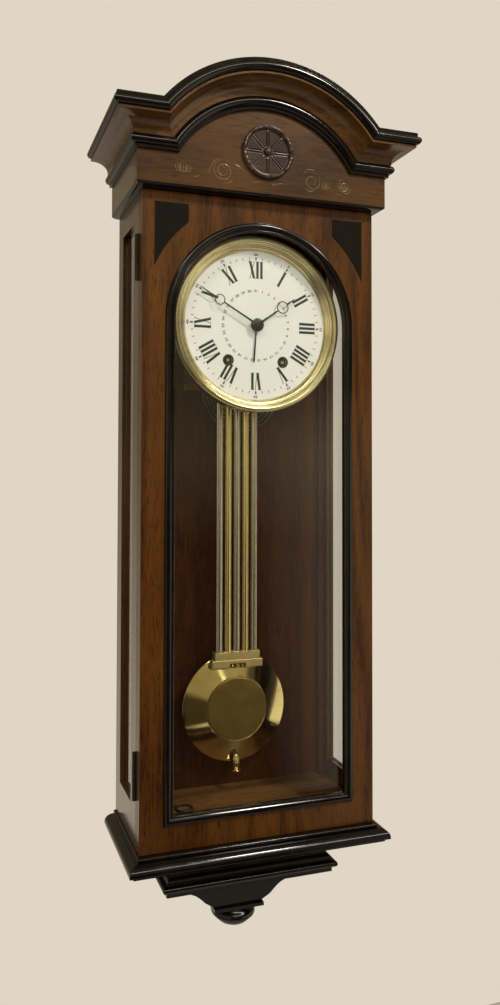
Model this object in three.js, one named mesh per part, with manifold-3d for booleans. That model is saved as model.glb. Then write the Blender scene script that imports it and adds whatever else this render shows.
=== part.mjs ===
// Regulator wall clock: an arch-topped case with a glazed door, a spring-driven
// movement with strike and date, and a gridiron pendulum. Lengths are in millimetres.
// X runs to the viewer's right, Y towards the wall, Z up. Inside the clock group the wall
// plane is y = 0, so y = -out for a point that stands out from the wall, the clock's middle
// is x = 0, and z = 0 is the underside of the door.

import * as THREE from "three";
import { mergeVertices } from "three/addons/utils/BufferGeometryUtils.js";
import Module from "manifold-3d";

const wasm = await Module();
wasm.setup();

// Clearances
const touchGap = 0.3;
const doorGap = 0.6;
const cutOverrun = 5;

// Carcass
const caseWidth = 304;
const caseDepth = 132;
const caseHeight = 778;
const sideThickness = 12;
const backThickness = 10;
const floorThickness = 20;
const topThickness = 16;
const cornerStripWidth = 8;
const hookDrop = 36;

// Side windows
const windowRearStile = 25;
const windowFrontStile = 26;
const windowBottom = 45;
const windowTopRail = 31;
const windowReveal = 5.5;
const sideGlassThickness = 2;
const grooveDepth = 3;

// Door
const doorThickness = 18;
const stileWidth = 41;
const topRail = 40.2;
const sightBottom = 42;
const beadingWidth = 12.4;
const beadingHeight = 4;
const beadingTongue = 3;
const beadingTongueWidth = 1.8;
const doorLip = 6;
const doorRebate = 7;
const doorGlassThickness = 3;
const spandrelTopMargin = 13.5;
const spandrelSideMargin = 15;
const spandrelWidth = 41.8;
const spandrelHollowGap = 39;
const spandrelThickness = 2.5;
const spandrelProud = 0.8;

// Door hinges
const hingeLength = 56;
const hingeThickness = 1.5;
const hingeLeafWidth = 15;
const caseLeafWidth = 10;
const knuckleRadius = 3;
const hingePinRadius = 1.1;
const hingeOffset = 1.4;
const upperHingeDrop = 106;
const lowerHingeBottom = 57;

// Hood, measured as projections beyond the carcass and as heights
const hoodLead = 5;
const friezeProjection = 10.5;
const filletHeight = 3.6;
const hoodBoardThickness = 12;
const filletFoot = 1.5;
const filletInset = 12;
const filletFrontInset = 30;
const roofThickness = 8;
const boardTopMargin = 6.5;
const archDrop = 23;
const archInset = 23;
const friezeHeight = 37.9;
const beadFilletReach = 3.5;
const beadFilletHeight = 3.5;
const beadRadius = 5.5;
const coveStartReach = 6;
const coveFootHeight = 3.7;
const coveReach = 20.5;
const coveRise = 14;
const coveFilletReach = 2;
const coveFilletHeight = 3;
const crownBeadRadius = 5.3;
const crownBoardReach = 1.3;
const crownBoardHeight = 4.6;
const crownInset = 1.5;

// Rosette
const rosetteMargin = 17.8;
const rosetteRelief = 6;
const rosetteRimWidth = 4.5;
const rosetteDish = 2.6;
const rosetteBossRadius = 5;
const rosetteGrooveWidth = 1.6;

// Base and bracket
const baseBeadProjection = 3;
const baseBeadHeight = 3.6;
const baseStep = 4.2;
const baseOvoloTop = 4.4;
const baseProjection = 14.8;
const baseOvoloHeight = 9;
const baseEdgeHeight = 2.4;
const baseUnderHeight = 4.4;
const baseUnderProjection = 9.5;
const tierTop = 20.4;
const tierInset = 47.6;
const tierSetback = 35.6;
const tierNeck = 28.6;
const tierOvolo = 5;
const tierOvoloHeight = 7;
const tierTorusRadius = 4;
const tierTorusProjection = 9.3;
const tierFilletProjection = 5.6;
const tierFilletHeight = 6.2;
const bracketTopHalfWidth = 72;
const bracketFootHalfWidth = 31.8;
const bracketHeight = 50;
const bracketSetback = 43.4;
const abacusHalfWidth = 34;
const abacusProjection = 4;
const abacusHeight = 4;
const bossRadius = 29.4;
const bossHeight = 28;
const bossSetback = 26;
const bossTipRadius = 6;
const bossTipHeight = 4;

// Hanging plate
const hangerWidth = 46;
const hangerHeight = 34;
const hangerThickness = 2;
const hangerHoleRadius = 6;
const hangerSlotRadius = 3;
const hangerSlotRise = 12;

// Dial
const dialSetback = 22.4;
const dialMargin = 2;
const dialThickness = 2;
const dialCentreHole = 5.6;
const dialFootRadius = 1.8;
const dialFootInset = 25.4;
const windingX = 36.6;
const windingDrop = 44.8;
const windingHole = 5.4;

// Bezel
const bezelClearance = 1;
const bezelWidth = 16.6;
const bezelSetback = 10.6;
const bezelRound = 3;
const bezelDepth = 17.4;
const bezelSeatThickness = 2;
const bezelSeatWidth = 8;

// Movement
const frontPlateSetback = 12.6;
const backPlateOut = 60;
const plateThickness = 3;
const frontPlateHalfWidth = 66;
const backPlateHalfWidth = 78.5;
const plateDrop = 79.5;
const plateRise = 76;
const frontPlateDrop = 77;
const pillarRadius = 4;
const pillarX = 58;
const lowerPillarDrop = 70;
const upperPillarRise = 56;
const barrelRadius = 24;
const barrelEndClearance = 3.7;
const greatWheelRadius = 27;
const greatWheelThickness = 3;
const windingArborRadius = 3;
const windingSquare = 4.2;
const windingTipSetback = 1;
const arborRadius = 2;
const centreWheelRadius = 21;
const wheelThickness = 2;
const centreWheelShare = 7 / 17;
const hourWheelRadius = 15;
const hourWheelSetback = 8.8;
const dateWheelRadius = 18;
const dateWheelSetback = 4.4;
const motionWheelThickness = 1.6;
const minutePipe = 2.4;
const hourPipe = 3.6;
const datePipe = 4.9;
const pipeGap = 0.4;
const anchorRise = 63.2;
const escapeDrop = 26;
const escapeRadius = 15;
const escapeTeeth = 30;
const escapeToothDepth = 2.2;
const escapeShare = 3 / 17;
const palletClearance = 1.7;
const palletWidth = 3;
const crutchSetback = 4;
const crutchThickness = 2.4;
const crutchWidth = 4;
const crutchLength = 52;
const forkProngWidth = 2;
const forkLength = 12;
const cockHalfWidth = 17;
const cockHeight = 12;
const cockSetback = 8;
const cockThickness = 3;
const cockFoot = 7;
const cockArmHeight = 7;
const bracketPostX = 66;
const bracketPostWidth = 10;
const bracketStripRise = 44;
const bracketStripHeight = 22;
const bracketStripThickness = 4;

// Strike
const gongOut = 20;
const gongX = 14;
const gongDrop = 75;
const gongRadius = 56;
const gongPitch = 5;
const gongWireRadius = 1.4;
const gongRun = 18;
const gongTail = 3;
const gongPostWidth = 10;
const gongPostDepth = 7;
const hammerX = 56;
const hammerRise = 30;
const hammerHeadRadius = 6;
const hammerHeadLength = 12;
const hammerRodRadius = 1.5;
const hammerRest = 1.5;

// Hands
const handThickness = 0.9;
const dateHandLift = 2.6;
const hourHandLift = 4.8;
const minuteHandLift = 7.2;
const minuteCapLift = 10;
const minuteLength = 87;
const minuteRing = 57.5;
const minuteRingRadius = 6.8;
const hourLength = 62.5;
const hourRing = 42.5;
const hourRingRadius = 7.9;
const handTail = 6;
const dateLength = 47;
const handHubRadius = 8.2;
const handRootWidth = 3;
const handTipWidth = 1.2;
const handRingBand = 1.4;

// Pendulum
const pendulumSetback = 16;
const bobFloorClearance = 38.5;
const bobRadius = 71.5;
const bobDiscRadius = 42;
const bobFrontDepth = 4.5;
const bobRimSetback = 8;
const bobRimThickness = 2.2;
const bobBackDepth = 12.5;
const bobBackRadius = 48;
const bobTravel = 1.5;
const rodRadius = 4.9;
const rodPitch = 12.1;
const stemLength = 56;
const topBarHeight = 11;
const topBarHalfWidth = 31;
const barThickness = 13;
const upperBarHalfWidth = 32.5;
const barAboveBob = 65.2;
const barHeight = 10.3;
const barGroove = 0.8;
const lowerBarHalfWidth = 36.4;
const stirrupHalfWidth = 9;
const stirrupHeight = 8;
const stirrupThickness = 3;
const stemRadius = 3;
const springLength = 28;
const springHalfWidth = 5;
const springThickness = 0.6;
const springBlockHeight = 9;
const springBlockThickness = 6;
const ratingRodRadius = 1.8;
const ratingRodBelowBob = 85;
const nutBelowBob = 59.5;
const nutHeight = 20;
const nutRadius = 5.3;
const nutFlangeRadius = 6.4;
const nutFlangeHeight = 2;
const nutTipHeight = 4.5;
const nutSeatClearance = 1;

// Counts, angles in degrees and shares
const archSteps = 24;
const ringSteps = 40;
const roundSteps = 14;
const smallSteps = 8;
const beadSteps = 5;
const coveSteps = 5;
const gongTurns = 5;
const stepsPerLoop = 24;
const wireSides = 6;
const gongStart = 100;
const hammerAngle = 20;
const minuteAngle = 300;
const hourAngle = 55;
const dateAngle = 184;
const rosettePetals = 8;
const dialFeet = 3;
const pillarSigns = [-1, 1];
const hornAngle = 47;
const beadingProfileShares = [
  [0, 0.4],
  [0.06, 0.72],
  [0.17, 0.86],
  [0.28, 0.66],
  [0.34, 0.8],
  [0.5, 1],
  [0.7, 0.96],
  [0.86, 0.7],
  [0.95, 0.34],
  [1, 0],
];
const bezelProfileShares = [
  [0.86, 0.02],
  [0.7, 0.1],
  [0.64, 0.24],
  [0.52, 0.24],
  [0.4, 0.42],
  [0.3, 0.62],
  [0.24, 0.62],
  [0.12, 0.82],
];
const bossProfileShares = [
  [0, 0],
  [0.8, 0],
  [0.86, 0.12],
  [0.97, 0.26],
  [1, 0.4],
  [0.97, 0.5],
  [0.88, 0.54],
  [0.86, 0.6],
  [0.7, 0.78],
  [0.46, 0.92],
];
const nutProfileShares = [
  [0.42, 0],
  [0.62, 0.1],
  [0.9, 0.34],
  [1, 0.56],
  [0.94, 0.74],
  [0.66, 0.88],
  [0.5, 1],
];
const bracketCurveShares = [
  [0.42, 0.98],
  [0.53, 0.84],
  [0.6, 0.66],
  [0.71, 0.48],
  [0.81, 0.35],
  [0.88, 0.22],
  [0.95, 0.05],
];

// Places of the case, worked out from the sizes
const halfCase = caseWidth / 2;
const doorBackOut = caseDepth - doorThickness;
const panelFrontOut = doorBackOut - doorGap;
const insideHalf = halfCase - sideThickness;
const sightRadius = halfCase - stileWidth;
const hookHeight = caseHeight - hookDrop;
const windowTop = caseHeight - windowTopRail;
const upperHingeBottom = caseHeight - upperHingeDrop;
const dialHeight = caseHeight - topRail - sightRadius;
const spandrelTop = caseHeight - spandrelTopMargin;
const spandrelOuter = halfCase - spandrelSideMargin;
const spandrelInner = spandrelOuter - spandrelWidth;
const spandrelRadius = sightRadius + spandrelHollowGap;

// Places of the hood
const hoodOut = caseDepth + hoodLead;
const friezeFrontOut = hoodOut + friezeProjection;
const friezeBackOut = friezeFrontOut - hoodBoardThickness;
const hoodOuter = halfCase + friezeProjection;
const hoodInner = hoodOuter - hoodBoardThickness;
const friezeBottom = caseHeight + filletHeight;
const archCentre = caseHeight - archDrop;
const archRadiusAtFrieze = halfCase - archInset;
const archTop = archCentre + archRadiusAtFrieze;
const rosetteRadius = (archTop - friezeBottom) / 2 - rosetteMargin;
const rosetteHeight = (archTop + friezeBottom) / 2;
const beadFilletBottom = friezeBottom + friezeHeight;
const beadFilletProjection = friezeProjection + beadFilletReach;
const beadBottom = beadFilletBottom + beadFilletHeight;
const beadTop = beadBottom + beadRadius * 2;
const coveStartProjection = friezeProjection + coveStartReach;
const coveBottom = beadTop + touchGap + coveFootHeight;
const coveFilletBottom = coveBottom + coveRise;
const coveFilletTop = coveFilletBottom + coveFilletHeight;
const coveFilletProjection = coveStartProjection + coveReach + coveFilletReach;
const crownBeadBottom = coveFilletTop + touchGap;
const crownBeadTop = crownBeadBottom + crownBeadRadius * 2;
const crownBoardProjection = coveFilletProjection + crownBoardReach;
const crownTop = crownBeadTop + crownBoardHeight;
const boardTop = crownTop - boardTopMargin;

// Places of the base
const tierHalfWidth = halfCase - tierInset;
const tierOut = caseDepth - tierSetback;
const bracketOut = tierOut - bracketSetback;
const abacusOut = bracketOut + abacusProjection;
const bossOut = abacusOut - bossSetback;

// Places of the dial and the movement
const bezelRadius = sightRadius - bezelClearance;
const bezelSight = bezelRadius - bezelWidth;
const dialOut = caseDepth - dialSetback;
const dialRadius = bezelSight + dialMargin;
const dialFootOffset = dialRadius - dialFootInset;
const bezelFrontOut = caseDepth - bezelSetback;
const bezelBackOut = bezelFrontOut - bezelDepth;
const dateHandOut = dialOut + dateHandLift;
const hourHandOut = dialOut + hourHandLift;
const minuteHandOut = dialOut + minuteHandLift;
const minuteCapOut = dialOut + minuteCapLift;
const dateWheelOut = dialOut - dateWheelSetback;
const hourWheelOut = dialOut - hourWheelSetback;
const windingTipOut = dialOut - windingTipSetback;
const frontPlateOut = dialOut - frontPlateSetback;
const platesApart = frontPlateOut - plateThickness - backPlateOut;
const centreWheelOut = backPlateOut + platesApart * centreWheelShare;
const escapeOut = backPlateOut + platesApart * escapeShare;
const barrelHeight = platesApart - greatWheelThickness * 2 - barrelEndClearance - touchGap;
const crutchOut = backPlateOut - plateThickness - crutchSetback;
const cockOut = backPlateOut - plateThickness - cockSetback;
const suspensionHeight = dialHeight + anchorRise;
const escapeHeight = suspensionHeight - escapeDrop;

// Places of the pendulum
const pendulumOut = backPlateOut - plateThickness - pendulumSetback;
const bobHeight = floorThickness + bobFloorClearance + bobRadius;
const bobFrontOut = pendulumOut + bobFrontDepth;
const bobRimOut = pendulumOut - bobRimSetback;
const bobBackOut = pendulumOut - bobBackDepth;
const upperBarBottom = bobHeight + barAboveBob;
const lowerBarBottom = upperBarBottom - barHeight;
const stemTop = suspensionHeight - springLength;
const rodTop = stemTop - stemLength;
const ratingRodBottom = bobHeight - ratingRodBelowBob;
const nutTop = bobHeight - nutBelowBob;
const degrees = THREE.MathUtils.degToRad;

// Finishes
const finish = (color, roughness, metalness) =>
  new THREE.MeshStandardMaterial({ color, roughness, metalness });
const rosewood = finish(0x6b3a1e, 0.3, 0);
const darkWood = finish(0x3b1a10, 0.4, 0);
const floorWood = finish(0x8a5a2a, 0.4, 0);
const ebonised = finish(0x0c0c0e, 0.2, 0);
const carvedWood = finish(0x3a2a20, 0.35, 0);
const brass = finish(0xb89a55, 0.25, 1);
const steel = finish(0x7c7b76, 0.3, 1);
const blackSteel = finish(0x14120f, 0.35, 0.6);
const castIron = finish(0x2b2a28, 0.6, 0.8);
const enamel = finish(0xece8dc, 0.25, 0);
const clearGlass = finish(0xdfe6e2, 0.05, 0);

// The block between two opposite corners.
function block(x0, x1, y0, y1, z0, z1) {
  const shape = new THREE.BoxGeometry(x1 - x0, y1 - y0, z1 - z0);
  shape.translate((x0 + x1) / 2, (y0 + y1) / 2, (z0 + z1) / 2);
  return shape;
}

// A front-view outline given thickness, with its front face at the given distance out.
function slab(outline, frontOut, thickness, steps = smallSteps) {
  const shape = new THREE.ExtrudeGeometry(outline, {
    depth: thickness,
    bevelEnabled: false,
    curveSegments: steps,
  });
  shape.rotateX(Math.PI / 2);
  shape.translate(0, thickness - frontOut, 0);
  return shape;
}

// A profile of radius and distance out, turned about a line that runs out from the wall.
function turnedOutward(profile, x, z, steps) {
  const points = profile.map(([radius, out]) => new THREE.Vector2(radius, -out));
  const shape = new THREE.LatheGeometry(closedLoop(points), steps);
  shape.translate(x, 0, z);
  return shape;
}

// A profile of radius and height, turned about an upright line.
function turnedUpright(profile, x, out, steps) {
  const points = profile.map(([radius, height]) => new THREE.Vector2(radius, height));
  const shape = new THREE.LatheGeometry(closedLoop(points), steps);
  shape.rotateX(Math.PI / 2);
  shape.translate(x, -out, 0);
  return shape;
}

// A turned profile runs so that its faces point outwards, and it closes on itself unless
// it starts and ends on the axis.
function closedLoop(points) {
  const turned = THREE.ShapeUtils.area(points) < 0 ? [...points].reverse() : points;
  const first = turned[0];
  const last = turned[turned.length - 1];
  return first.x === 0 && last.x === 0 ? turned : [...turned, first.clone()];
}

// A solid cylinder from one distance out to another.
function rodOutward(radius, x, z, fromOut, toOut, steps = smallSteps) {
  const profile = [
    [0, toOut],
    [radius, toOut],
    [radius, fromOut],
    [0, fromOut],
  ];
  return turnedOutward(profile, x, z, steps);
}

// An upright cylinder from one height to another.
function rodUpright(radius, x, out, fromHeight, toHeight, steps = smallSteps) {
  const profile = [
    [0, fromHeight],
    [radius, fromHeight],
    [radius, toHeight],
    [0, toHeight],
  ];
  return turnedUpright(profile, x, out, steps);
}

// A closed surface from points and triangles, with its faces turned outwards.
function closedSurface(points, triangles) {
  let volume = 0;
  const corner = triangles.map((index) => new THREE.Vector3(...points[index]));
  for (let i = 0; i < corner.length; i += 3) {
    volume += corner[i].dot(corner[i + 1].clone().cross(corner[i + 2]));
  }
  const order = volume < 0 ? [...triangles].reverse() : triangles;
  const shape = new THREE.BufferGeometry();
  shape.setAttribute("position", new THREE.Float32BufferAttribute(points.flat(), 3));
  shape.setIndex(order);
  return shape;
}

// A section carried through a row of stations. Each station turns a section point into a
// place. The row is closed on itself, or ends in flat caps.
function carried(section, stations, closed) {
  const count = section.length;
  const points = stations.flatMap((place) => section.map(([a, b]) => place(a, b)));
  const triangles = [];
  const spans = closed ? stations.length : stations.length - 1;
  for (let i = 0; i < spans; i++) {
    const here = i * count;
    const next = ((i + 1) % stations.length) * count;
    for (let j = 0; j < count; j++) {
      const k = (j + 1) % count;
      triangles.push(here + j, here + k, next + k);
      triangles.push(here + j, next + k, next + j);
    }
  }
  if (!closed) {
    const flat = section.map(([a, b]) => new THREE.Vector2(a, b));
    const faces = THREE.ShapeUtils.triangulateShape(flat, []);
    const end = (stations.length - 1) * count;
    const forward = THREE.ShapeUtils.area(flat) > 0 ? 1 : -1;
    for (const [a, b, c] of faces) {
      const cap = forward > 0 ? [a, c, b] : [a, b, c];
      const back = [...cap].reverse();
      triangles.push(...cap);
      triangles.push(...back.map((index) => index + end));
    }
  }
  return closedSurface(points, triangles);
}

// The manifold solid of a closed geometry.
function solidOf(geometry) {
  const bare = geometry.clone();
  bare.deleteAttribute("normal");
  bare.deleteAttribute("uv");
  const merged = mergeVertices(bare, 1e-4);
  return new wasm.Manifold(
    new wasm.Mesh({
      numProp: 3,
      vertProperties: merged.attributes.position.array,
      triVerts: new Uint32Array(merged.index.array),
    }),
  );
}

// The geometry of a manifold solid.
function geometryOf(solid) {
  const mesh = solid.getMesh();
  const shape = new THREE.BufferGeometry();
  const positions = new Float32Array(mesh.numVert * 3);
  for (let i = 0; i < mesh.numVert; i++) {
    const start = i * mesh.numProp;
    positions.set(mesh.vertProperties.subarray(start, start + 3), i * 3);
  }
  shape.setAttribute("position", new THREE.BufferAttribute(positions, 3));
  shape.setIndex(new THREE.BufferAttribute(mesh.triVerts, 1));
  shape.computeVertexNormals();
  return shape;
}

// One geometry with others joined to it and others cut from it.
function shaped(base, { join = [], cut = [] }) {
  let solid = solidOf(base);
  for (const piece of join) {
    solid = solid.add(solidOf(piece));
  }
  for (const piece of cut) {
    solid = solid.subtract(solidOf(piece));
  }
  return geometryOf(solid);
}

const clock = new THREE.Group();

// A named mesh in the clock.
function add(name, geometry, material) {
  const piece = new THREE.Mesh(geometry, material);
  piece.name = name;
  clock.add(piece);
}

// The outline of an opening with an upright foot and a half-round head.
function archOutline(radius, bottom) {
  const outline = new THREE.Shape();
  outline.moveTo(-radius, bottom);
  outline.lineTo(radius, bottom);
  outline.lineTo(radius, dialHeight);
  outline.absarc(0, dialHeight, radius, 0, Math.PI, false);
  outline.lineTo(-radius, bottom);
  return outline;
}

// Where each hinge turns: just outside the case, on the joint between door and carcass.
const hingeX = -(halfCase + hingeOffset);
const hingeOut = doorBackOut - doorGap / 2;
const hingeBottoms = { upper: upperHingeBottom, lower: lowerHingeBottom };

// The space that a hinge takes out of the door or the carcass side.
function hingeRecess(bottom, leafWidth, fromOut, toOut) {
  const top = bottom + hingeLength;
  const leaf = block(
    -halfCase - cutOverrun,
    -halfCase + leafWidth + touchGap,
    -fromOut,
    -toOut,
    bottom - touchGap,
    top + touchGap,
  );
  const barrel = rodUpright(
    knuckleRadius + touchGap,
    hingeX,
    hingeOut,
    bottom - touchGap,
    top + touchGap,
    roundSteps,
  );
  return [leaf, barrel];
}

// A carcass side with its window and the groove that holds the glass.
function sidePanel(side) {
  const inner = Math.min(side * halfCase, side * insideHalf);
  const outer = Math.max(side * halfCase, side * insideHalf);
  const windowFront = windowFrontStile - panelFrontOut;
  const board = block(inner, outer, -panelFrontOut, 0, 0, caseHeight - touchGap);
  const opening = block(
    inner - cutOverrun,
    outer + cutOverrun,
    windowFront,
    -windowRearStile,
    windowBottom,
    windowTop,
  );
  const near = side * (halfCase - windowReveal + touchGap);
  const far = side * (halfCase - windowReveal - sideGlassThickness - touchGap);
  const groove = block(
    Math.min(near, far),
    Math.max(near, far),
    windowFront - grooveDepth - touchGap,
    -windowRearStile + grooveDepth + touchGap,
    windowBottom - grooveDepth - touchGap,
    windowTop + grooveDepth + touchGap,
  );
  const recesses = [];
  if (side < 0) {
    for (const bottom of Object.values(hingeBottoms)) {
      const deep = panelFrontOut - hingeThickness - touchGap;
      recesses.push(...hingeRecess(bottom, caseLeafWidth, hingeOut + doorGap, deep));
    }
  }
  return shaped(board, { cut: [opening, groove, ...recesses] });
}

// The pane of a side window, standing in its groove.
function sideGlass(side) {
  const near = side * (halfCase - windowReveal);
  const far = side * (halfCase - windowReveal - sideGlassThickness);
  return block(
    Math.min(near, far),
    Math.max(near, far),
    windowFrontStile - panelFrontOut - grooveDepth,
    -windowRearStile + grooveDepth,
    windowBottom - grooveDepth,
    windowTop + grooveDepth,
  );
}

// The backboard: narrow between the carcass sides, wider inside the hood, with a corner
// strip down each side and a pocket behind for the hanging plate.
function backboard() {
  const narrow = insideHalf - touchGap;
  const wide = hoodInner - touchGap;
  const top = boardTop - roofThickness - touchGap;
  const outline = new THREE.Shape();
  outline.moveTo(-narrow, floorThickness + touchGap);
  outline.lineTo(narrow, floorThickness + touchGap);
  outline.lineTo(narrow, friezeBottom + touchGap);
  outline.lineTo(wide, friezeBottom + touchGap);
  outline.lineTo(wide, top);
  outline.lineTo(-wide, top);
  outline.lineTo(-wide, friezeBottom + touchGap);
  outline.lineTo(-narrow, friezeBottom + touchGap);
  outline.closePath();
  const strips = pillarSigns.map((side) =>
    block(
      Math.min(side * narrow, side * (narrow - cornerStripWidth)),
      Math.max(side * narrow, side * (narrow - cornerStripWidth)),
      -backThickness - cornerStripWidth,
      -backThickness + touchGap,
      floorThickness + touchGap,
      caseHeight - topThickness - touchGap,
    ),
  );
  const pocket = block(
    -hangerWidth / 2 - touchGap,
    hangerWidth / 2 + touchGap,
    -hangerThickness - touchGap,
    cutOverrun,
    hookHeight - hangerHeight / 2 - touchGap,
    hookHeight + hangerHeight / 2 + touchGap,
  );
  const hole = rodOutward(
    hangerHoleRadius,
    0,
    hookHeight - hangerSlotRise,
    backThickness / 2,
    -cutOverrun,
    roundSteps,
  );
  const slot = block(
    -hangerHoleRadius,
    hangerHoleRadius,
    -backThickness / 2,
    cutOverrun,
    hookHeight - hangerSlotRise,
    hookHeight,
  );
  const hollow = rodOutward(
    hangerHoleRadius,
    0,
    hookHeight,
    backThickness / 2,
    -cutOverrun,
    roundSteps,
  );
  const board = slab(outline, backThickness, backThickness);
  return shaped(board, { join: strips, cut: [pocket, hole, slot, hollow] });
}

// The keyhole plate that hangs on the wall hook, let in flush with the back.
function hangerPlate() {
  const plate = block(
    -hangerWidth / 2,
    hangerWidth / 2,
    -hangerThickness,
    0,
    hookHeight - hangerHeight / 2,
    hookHeight + hangerHeight / 2,
  );
  const mouth = hookHeight - hangerSlotRise + touchGap;
  const hole = rodOutward(
    hangerHoleRadius - touchGap,
    0,
    mouth,
    hangerThickness + cutOverrun,
    -cutOverrun,
    roundSteps,
  );
  const neck = block(
    -hangerSlotRadius,
    hangerSlotRadius,
    -hangerThickness - cutOverrun,
    cutOverrun,
    mouth,
    hookHeight - hangerSlotRadius,
  );
  const crown = rodOutward(
    hangerSlotRadius,
    0,
    hookHeight - hangerSlotRadius,
    hangerThickness + cutOverrun,
    -cutOverrun,
    roundSteps,
  );
  return shaped(plate, { cut: [hole, neck, crown] });
}

function addCarcass() {
  for (const [name, side] of [["left", -1], ["right", 1]]) {
    add("side_panel_" + name, sidePanel(side), rosewood);
    add("side_glass_" + name, sideGlass(side), clearGlass);
  }
  add("backboard", backboard(), darkWood);
  add("hanging_plate", hangerPlate(), brass);
  const across = insideHalf - touchGap;
  const rear = -backThickness - touchGap;
  const floor = block(-across, across, -panelFrontOut, 0, 0, floorThickness);
  const lid = caseHeight - touchGap;
  const top = block(-across, across, -panelFrontOut, rear, lid - topThickness, lid);
  add("case_floor", floor, floorWood);
  add("case_top", top, darkWood);
}

// Stations of a moulding that runs round the hood: from the wall along the left, over the
// arch and back along the right. A section point is a projection and a height, and the
// height turns into a radius over the arch.
function hoodStations() {
  const radiusAt = (height) => archRadiusAtFrieze + height - beadFilletBottom;
  const cuspAngle = (height) => Math.asin((height - archCentre) / radiusAt(height));
  const stations = [];
  stations.push((p, h) => [-halfCase - p, 0, h]);
  stations.push((p, h) => [-halfCase - p, -hoodOut - p, h]);
  for (let i = 0; i <= archSteps; i++) {
    const share = i / archSteps;
    stations.push((p, h) => {
      const start = Math.PI - cuspAngle(h);
      const angle = start + (cuspAngle(h) - start) * share;
      const x = Math.cos(angle) * radiusAt(h);
      return [x, -hoodOut - p, archCentre + Math.sin(angle) * radiusAt(h)];
    });
  }
  stations.push((p, h) => [halfCase + p, -hoodOut - p, h]);
  stations.push((p, h) => [halfCase + p, 0, h]);
  return stations;
}

// Points of a half-round bead that bulges outwards, from its foot to its head.
function beadArc(projection, bottom, radius) {
  const points = [];
  for (let i = 0; i <= beadSteps; i++) {
    const angle = (Math.PI * i) / beadSteps - Math.PI / 2;
    const reach = projection + Math.cos(angle) * radius;
    points.push([reach, bottom + radius + Math.sin(angle) * radius]);
  }
  return points;
}

function friezeBeadSection() {
  return [
    [friezeProjection, beadFilletBottom],
    [beadFilletProjection, beadFilletBottom],
    ...beadArc(beadFilletProjection, beadBottom, beadRadius),
    [friezeProjection, beadTop],
  ];
}

function coveSection() {
  const foot = beadTop + touchGap;
  const points = [
    [friezeProjection, foot],
    [coveStartProjection, foot],
  ];
  for (let i = 0; i <= coveSteps; i++) {
    const angle = (Math.PI / 2) * (i / coveSteps);
    const reach = coveStartProjection + coveReach * (1 - Math.cos(angle));
    points.push([reach, coveBottom + coveRise * Math.sin(angle)]);
  }
  points.push([coveFilletProjection, coveFilletBottom]);
  points.push([coveFilletProjection, coveFilletTop]);
  points.push([friezeProjection, coveFilletTop]);
  return points;
}

function crownSection() {
  return [
    [friezeProjection, crownBeadBottom],
    ...beadArc(coveFilletProjection, crownBeadBottom, crownBeadRadius),
    [crownBoardProjection, crownBeadTop],
    [crownBoardProjection, crownTop],
    [-crownInset, crownTop],
    [-crownInset, boardTop + touchGap],
    [friezeProjection, boardTop + touchGap],
  ];
}

// The front board of the hood, with the arch on its top edge.
function pedimentBoard() {
  const radius = archRadiusAtFrieze + boardTop - beadFilletBottom;
  const cusp = Math.asin((boardTop - archCentre) / radius);
  const foot = friezeBottom + touchGap;
  const outline = new THREE.Shape();
  outline.moveTo(-hoodOuter, foot);
  outline.lineTo(hoodOuter, foot);
  outline.lineTo(hoodOuter, boardTop);
  outline.lineTo(Math.cos(cusp) * radius, boardTop);
  outline.absarc(0, archCentre, radius, cusp, Math.PI - cusp, false);
  outline.lineTo(-hoodOuter, boardTop);
  outline.closePath();
  return slab(outline, friezeFrontOut, hoodBoardThickness, archSteps);
}

// The ebonised cavetto that steps from the carcass out to the frieze.
function friezeFillet() {
  const foot = caseHeight;
  const rise = friezeBottom - foot;
  const section = [
    [-filletInset, foot],
    [filletFoot, foot],
  ];
  const reach = friezeProjection - filletFoot;
  for (let i = 1; i <= beadSteps; i++) {
    const angle = (Math.PI / 2) * (i / beadSteps);
    section.push([filletFoot + reach * Math.sin(angle), friezeBottom - rise * Math.cos(angle)]);
  }
  section.push([-filletInset, friezeBottom]);
  const forward = (p) => (p < 0 ? -filletFrontInset : p);
  const stations = [
    (p, h) => [-halfCase - p, 0, h],
    (p, h) => [-halfCase - p, -hoodOut - forward(p), h],
    (p, h) => [halfCase + p, -hoodOut - forward(p), h],
    (p, h) => [halfCase + p, 0, h],
  ];
  return carried(section, stations, false);
}

// The turned rosette with its rim, dished petals and centre bead.
function rosette() {
  const back = friezeFrontOut;
  const face = back + rosetteRelief;
  const rim = rosetteRadius - rosetteRimWidth;
  const dish = face - rosetteDish;
  const disc = turnedOutward(
    [
      [0, back],
      [0, face],
      [rosetteBossRadius / 2, face - rosetteDish / 4],
      [rosetteBossRadius, dish],
      [rim, dish],
      [rim + rosetteRimWidth / 4, face - rosetteDish / 4],
      [rim + rosetteRimWidth / 2, face],
      [rosetteRadius, face - rosetteDish],
      [rosetteRadius, back],
    ],
    0,
    rosetteHeight,
    ringSteps,
  );
  const grooves = [];
  for (let i = 0; i < rosettePetals; i++) {
    const groove = block(
      rosetteBossRadius,
      rim,
      -face - cutOverrun,
      rosetteGrooveWidth / 2 - dish,
      -rosetteGrooveWidth / 2,
      rosetteGrooveWidth / 2,
    );
    groove.rotateY((Math.PI * 2 * i) / rosettePetals);
    groove.translate(0, 0, rosetteHeight);
    grooves.push(groove);
  }
  return shaped(disc, { cut: grooves });
}

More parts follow.
